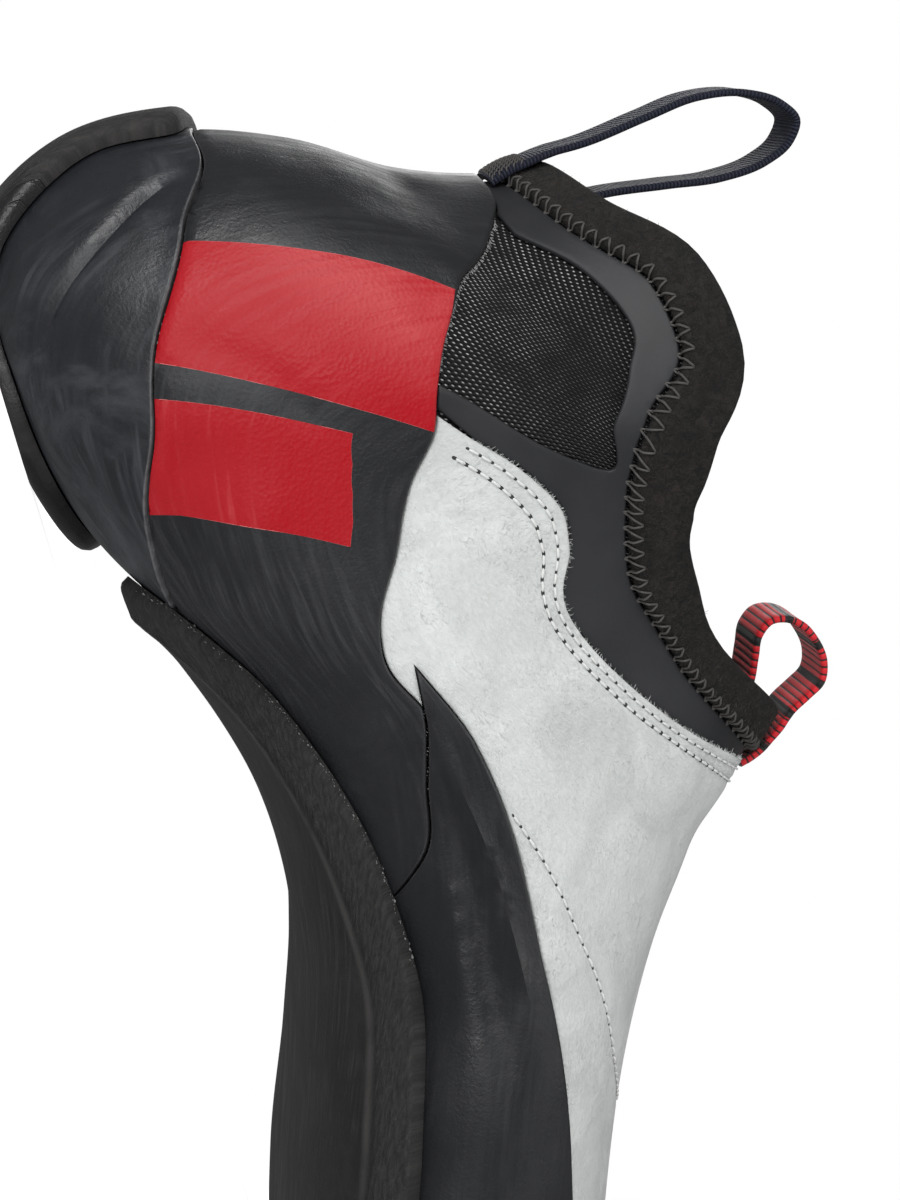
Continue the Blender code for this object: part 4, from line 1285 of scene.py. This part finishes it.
def pale_suede():
    """Suede with a short brushed nap, pebbled patches and fine wrinkles, darker in their troughs by painted
    shade.
    """
    look = Look("pale suede", Sheen_Weight=0.2, Sheen_Roughness=0.6, Specular_IOR_Level=0.15)
    nap = look.brushed(0.5, 900, 1700, 4.0, 0.7, 0.6)
    wrinkles = look.brushed(1.2, 420, 1300, 3.0, 0.6, 2.2)
    patches = look.span(look.noise(110), 0.42, 0.62)
    # Painted shade: darker where the wrinkles' bump is low, in their troughs, more in the pebbled patches.
    marks = look.times(look.span(wrinkles, 0.46, 0.34, 0.0, 0.60), look.plus(patches, 0.15))
    tone = look.times(look.span(look.noise(60, 4.0, 0.6, 0.8), 0.3, 0.7), 0.58)
    shade = look.plus(look.times(look.span(nap, 0.25, 0.75), 0.42), tone)
    look.bump(look.noise(70, 2.0, 0.5, 0.6), 1.0 * MM)
    look.bump(look.times(look.noise(620, 3.0, 0.6, 0.8), patches), 0.30 * MM)
    look.bump(wrinkles, 0.12 * MM)
    look.bump(nap, 0.16 * MM)
    tint = look.mix(shade, (0.365, 0.377, 0.370), (0.54, 0.557, 0.550))
    return look.done(look.mix(marks, tint, (0.30, 0.31, 0.315)), 0.92)


def black_mesh():
    """Black mesh with painted glints on its raised threads, in patches, less the farther from the heel band.
    """
    look = Look("black mesh", Specular_IOR_Level=0.35)
    rows = look.turned(0.35, 1 / (1.45 * MM), 1 / (1.15 * MM))
    weave = look.times(look.sine(look.axis("X", rows), 2 * pi), look.sine(look.axis("Y", rows), 2 * pi))
    patches = look.span(look.noise(110, 4.0, 0.8), 0.35, 0.65, 0.25, 1.0)
    aside = look.times(look.math("ABSOLUTE", look.axis("Y")), 1.07 / LAST.girth)
    from_band = look.plus(look.times(look.axis("X"), 1 / LAST.length), aside)
    fading = look.span(from_band, 0.975, 1.06, 1.0, 0.30)
    # Painted glints: the tops of the raised threads coloured near white, in patches and fading away from the
    # band.
    painted_glint = look.times(look.span(weave, 0.50, 0.92), look.times(patches, fading))
    look.bump(weave, 0.25 * MM)
    return look.done(look.mix(painted_glint, (0.0015, 0.0015, 0.002), (0.52, 0.52, 0.525)),
                     look.span(weave, -0.5, 1.0, 0.7, 0.3))


def grey_film():
    look = Look("grey film", Specular_IOR_Level=0.3)
    look.bump(look.noise(1500), 0.03 * MM)
    tone = look.span(look.noise(80), 0.3, 0.7)
    return look.done(look.mix(tone, (0.0125, 0.013, 0.0145), (0.0175, 0.018, 0.020)), 0.50)


def dark_felt():
    look = Look("dark felt", Sheen_Weight=0.04, Sheen_Roughness=0.7, Specular_IOR_Level=0.12)
    fluff = look.noise(900, 6.0, 0.8, 1.2)
    tone = look.noise(220, 4.0, 0.7)
    look.bump(tone, 0.5 * MM)
    look.bump(fluff, 0.7 * MM)
    shade = look.times(look.span(fluff, 0.38, 0.62), look.span(tone, 0.3, 0.7, 0.35, 1.0))
    return look.done(look.mix(shade, (0.002, 0.0018, 0.0016), (0.020, 0.0165, 0.0145)), 0.95)


def grey_insole():
    look = Look("grey insole", Sheen_Weight=0.1, Specular_IOR_Level=0.2)
    fluff = look.noise(1300, 4.0, 0.7)
    look.bump(fluff, 0.25 * MM)
    return look.done(look.mix(look.span(fluff, 0.3, 0.7), (0.07, 0.07, 0.073), (0.16, 0.16, 0.165)), 0.9)


def navy_ribbon():
    look = Look("navy ribbon", Sheen_Weight=0.02, Specular_IOR_Level=0.2)
    ribs = look.ribs(0.55 * MM)
    look.bump(ribs, 0.22 * MM)
    look.bump(look.brushed(0, 500, 5200), 0.05 * MM)
    return look.done(look.mix(ribs, (0.003, 0.0035, 0.008), (0.013, 0.015, 0.028)), 0.66)


def red_ribbon():
    """Red ribs, about every sixth of them black."""
    look = Look("red ribbon", Sheen_Weight=0.1, Specular_IOR_Level=0.3)
    ribs = look.ribs(1.15 * MM)
    bars = look.sine(look.axis("X"), 2 * pi / (6.5 * MM))
    look.bump(ribs, 0.2 * MM)
    red = look.times(look.span(ribs, 0.25, 0.5), look.span(bars, -0.85, -0.7))
    return look.done(look.mix(red, (0.010, 0.009, 0.009), (0.46, 0.008, 0.014)), 0.65)


def plain(name, colour):
    """Thread, fibre or crumb of one colour, with fine strands."""
    look = Look(name, Specular_IOR_Level=0.3)
    strands = look.noise(4000, 2.0)
    look.bump(strands, 0.04 * MM)
    return look.done(look.mix(strands, tuple(0.7 * value for value in colour), colour), 0.6)


def make_looks():
    return {
        # In each rubber, pale sets the painted highlight on its rims; the cup has the strongest, and stronger
        # painted sheen in patches.
        "rand": rubber("rand rubber", (0.0080, 0.0085, 0.0100), (0.020, 0.021, 0.025), (0.36, 0.50), 0.9,
                       pale=0.12),
        "band": rubber("band rubber", (0.0090, 0.0095, 0.0110), (0.030, 0.031, 0.035), (0.36, 0.50), 0.2,
                       pale=0.08),
        "cup": rubber("cup rubber", (0.0100, 0.0108, 0.0130), (0.046, 0.049, 0.056), (0.34, 0.48), 1.2,
                      dimples=1.0 * MM, sheen_patches=0.6, pale=0.5),
        "patch": rubber("patch rubber", (0.0080, 0.0080, 0.0090), (0.034, 0.031, 0.029), (0.32, 0.46), 0.0,
                        dimples=0.6 * MM, rough_from=("X", 0.706 * LAST.length, 0.716 * LAST.length),
                        feather=5 * MM),
        "sole": rubber("sole rubber", (0.0056, 0.0054, 0.0054), (0.030, 0.0285, 0.0275), (0.42, 0.56), 0.1,
                       dimples=0.4 * MM, rough_from=("Z", 4.6 * MM, 3.0 * MM), feather=0.9 * MM,
                       crest=SOLE_BEVEL + 0.4 * MM),
        "print": red_print(),
        "suede": pale_suede(),
        "mesh": black_mesh(),
        "film": grey_film(),
        "felt": dark_felt(),
        "insole": grey_insole(),
        "ribbon": navy_ribbon(),
        "red_ribbon": red_ribbon(),
        "thread": plain("black thread", (0.060, 0.057, 0.054)),
        "fibre": plain("felt fibre", (0.036, 0.029, 0.024)),
        "fray": plain("frayed thread", (0.34, 0.34, 0.34)),
        # Painted highlights: the crumbs are pale grey, far paler than the rubber.
        "speck": plain("rubber speck", (0.20, 0.20, 0.20)),
        "print_edge": plain("print edge", (0.60, 0.16, 0.16)),
        "pale_thread": plain("pale thread", (0.62, 0.63, 0.62)),
        # Painted shade: the needle holes are dark domes.
        "hole": plain("needle hole", (0.03, 0.03, 0.03)),
    }


# The camera: the photograph's bearing and roll, at the floor
BEARING = radians(14)
ROLL = radians(15)
CAMERA_HEIGHT = 5 * MM
CAMERA_DISTANCE = 0.42
TARGET = np.array((0.050, -0.010, 0.054))
LENS = 86

# The floor and the white round it, as a light and as the camera sees it
FLOOR_REACH = 4.0
FLOOR_GLOW = 0.84
WORLD_LIGHT = 0.18
WORLD_WHITE = 1.0

# Each lamp: its place, what it is aimed at, its size and its power in watts
LAMPS = {
    "key": ((-0.78, -0.62, 0.30), (0.05, 0, 0.05), (0.5, 0.5), 7),
    "near": ((-0.30, -0.85, 0.12), (0.03, 0, 0.04), (0.22, 0.30), 2.5),
    "top": ((0.15, -0.45, 1.0), (0.05, 0, 0.05), (0.7, 0.5), 2.5),
    "fill": ((0.95, -0.7, 0.45), (0.05, 0, 0.05), (0.6, 0.6), 1.8),
    "back": ((-0.1, 0.95, 0.55), (0.05, 0, 0.05), (0.7, 0.7), 5),
}


def make_camera():
    place = TARGET - np.array([sin(BEARING), cos(BEARING), 0]) * CAMERA_DISTANCE
    place[2] = CAMERA_HEIGHT
    forward = unit(TARGET - place)
    heelward = np.array([-1.0, 0, 0])
    heelward = unit(heelward - heelward @ forward * forward)
    rightward = np.cross(forward, heelward)
    up = cos(ROLL) * heelward + sin(ROLL) * rightward
    right = cos(ROLL) * rightward - sin(ROLL) * heelward
    data = bpy.data.cameras.new("camera")
    data.lens = LENS
    data.clip_start = 0.01
    camera = bpy.data.objects.new("camera", data)
    bpy.context.scene.collection.objects.link(camera)
    turn = Matrix((right, up, -forward)).transposed().to_4x4()
    camera.matrix_world = Matrix.Translation(place) @ turn
    bpy.context.scene.camera = camera


def make_floor():
    mesh = bpy.data.meshes.new("floor")
    corners = [(x * FLOOR_REACH, y * FLOOR_REACH, 0) for x, y in ((-1, -1), (1, -1), (1, 1), (-1, 1))]
    mesh.from_pydata(corners, [], [(0, 1, 2, 3)])
    floor = bpy.data.objects.new("floor", mesh)
    bpy.context.scene.collection.objects.link(floor)
    look = Look("pale floor", Specular_IOR_Level=0.0, Emission_Color=(1, 1, 1, 1),
                Emission_Strength=FLOOR_GLOW)
    mesh.materials.append(look.done((0.95, 0.95, 0.95, 1), 1.0))
    floor.visible_glossy = False


def make_lamps():
    for name, (place, aim, size, power) in LAMPS.items():
        data = bpy.data.lights.new(name, "AREA")
        data.shape = "RECTANGLE"
        data.size, data.size_y = size
        data.energy = power
        lamp = bpy.data.objects.new(name, data)
        bpy.context.scene.collection.objects.link(lamp)
        lamp.location = place
        lamp.rotation_euler = (Vector(aim) - Vector(place)).to_track_quat("-Z", "Y").to_euler()


def make_world():
    """White where the camera sees it, and softer as a light."""
    world = bpy.data.worlds.new("studio")
    bpy.context.scene.world = world
    world.use_nodes = True
    tree = world.node_tree
    background = tree.nodes["Background"]
    background.inputs["Color"].default_value = (1, 1, 1, 1)
    seen = tree.nodes.new("ShaderNodeLightPath").outputs["Is Camera Ray"]
    strength = tree.nodes.new("ShaderNodeMapRange")
    strength.inputs["To Min"].default_value = WORLD_LIGHT
    strength.inputs["To Max"].default_value = WORLD_WHITE
    tree.links.new(seen, strength.inputs["Value"])
    tree.links.new(strength.outputs[0], background.inputs["Strength"])
    bpy.context.scene.view_settings.view_transform = "Standard"


LOOKS = make_looks()
piece_upper()
piece_insole()
piece_quarter()
piece_front_rand()
piece_heel_band()
piece_heel_cup()
piece_heel_patch()
piece_outsole()
piece_collar_film()
piece_collar_binding()
piece_pull_loop("heel_pull_loop", 0, HEEL_LOOP_RISE, "ribbon")
piece_pull_loop("front_pull_loop", 0.5, FRONT_LOOP_RISE, "red_ribbon")
piece_seams()
piece_zigzag()
piece_fibres()
piece_felt_fibres()
piece_fray()
piece_specks()
piece_print_edges()
piece_tack()
make_floor()
make_world()
make_lamps()
make_camera()
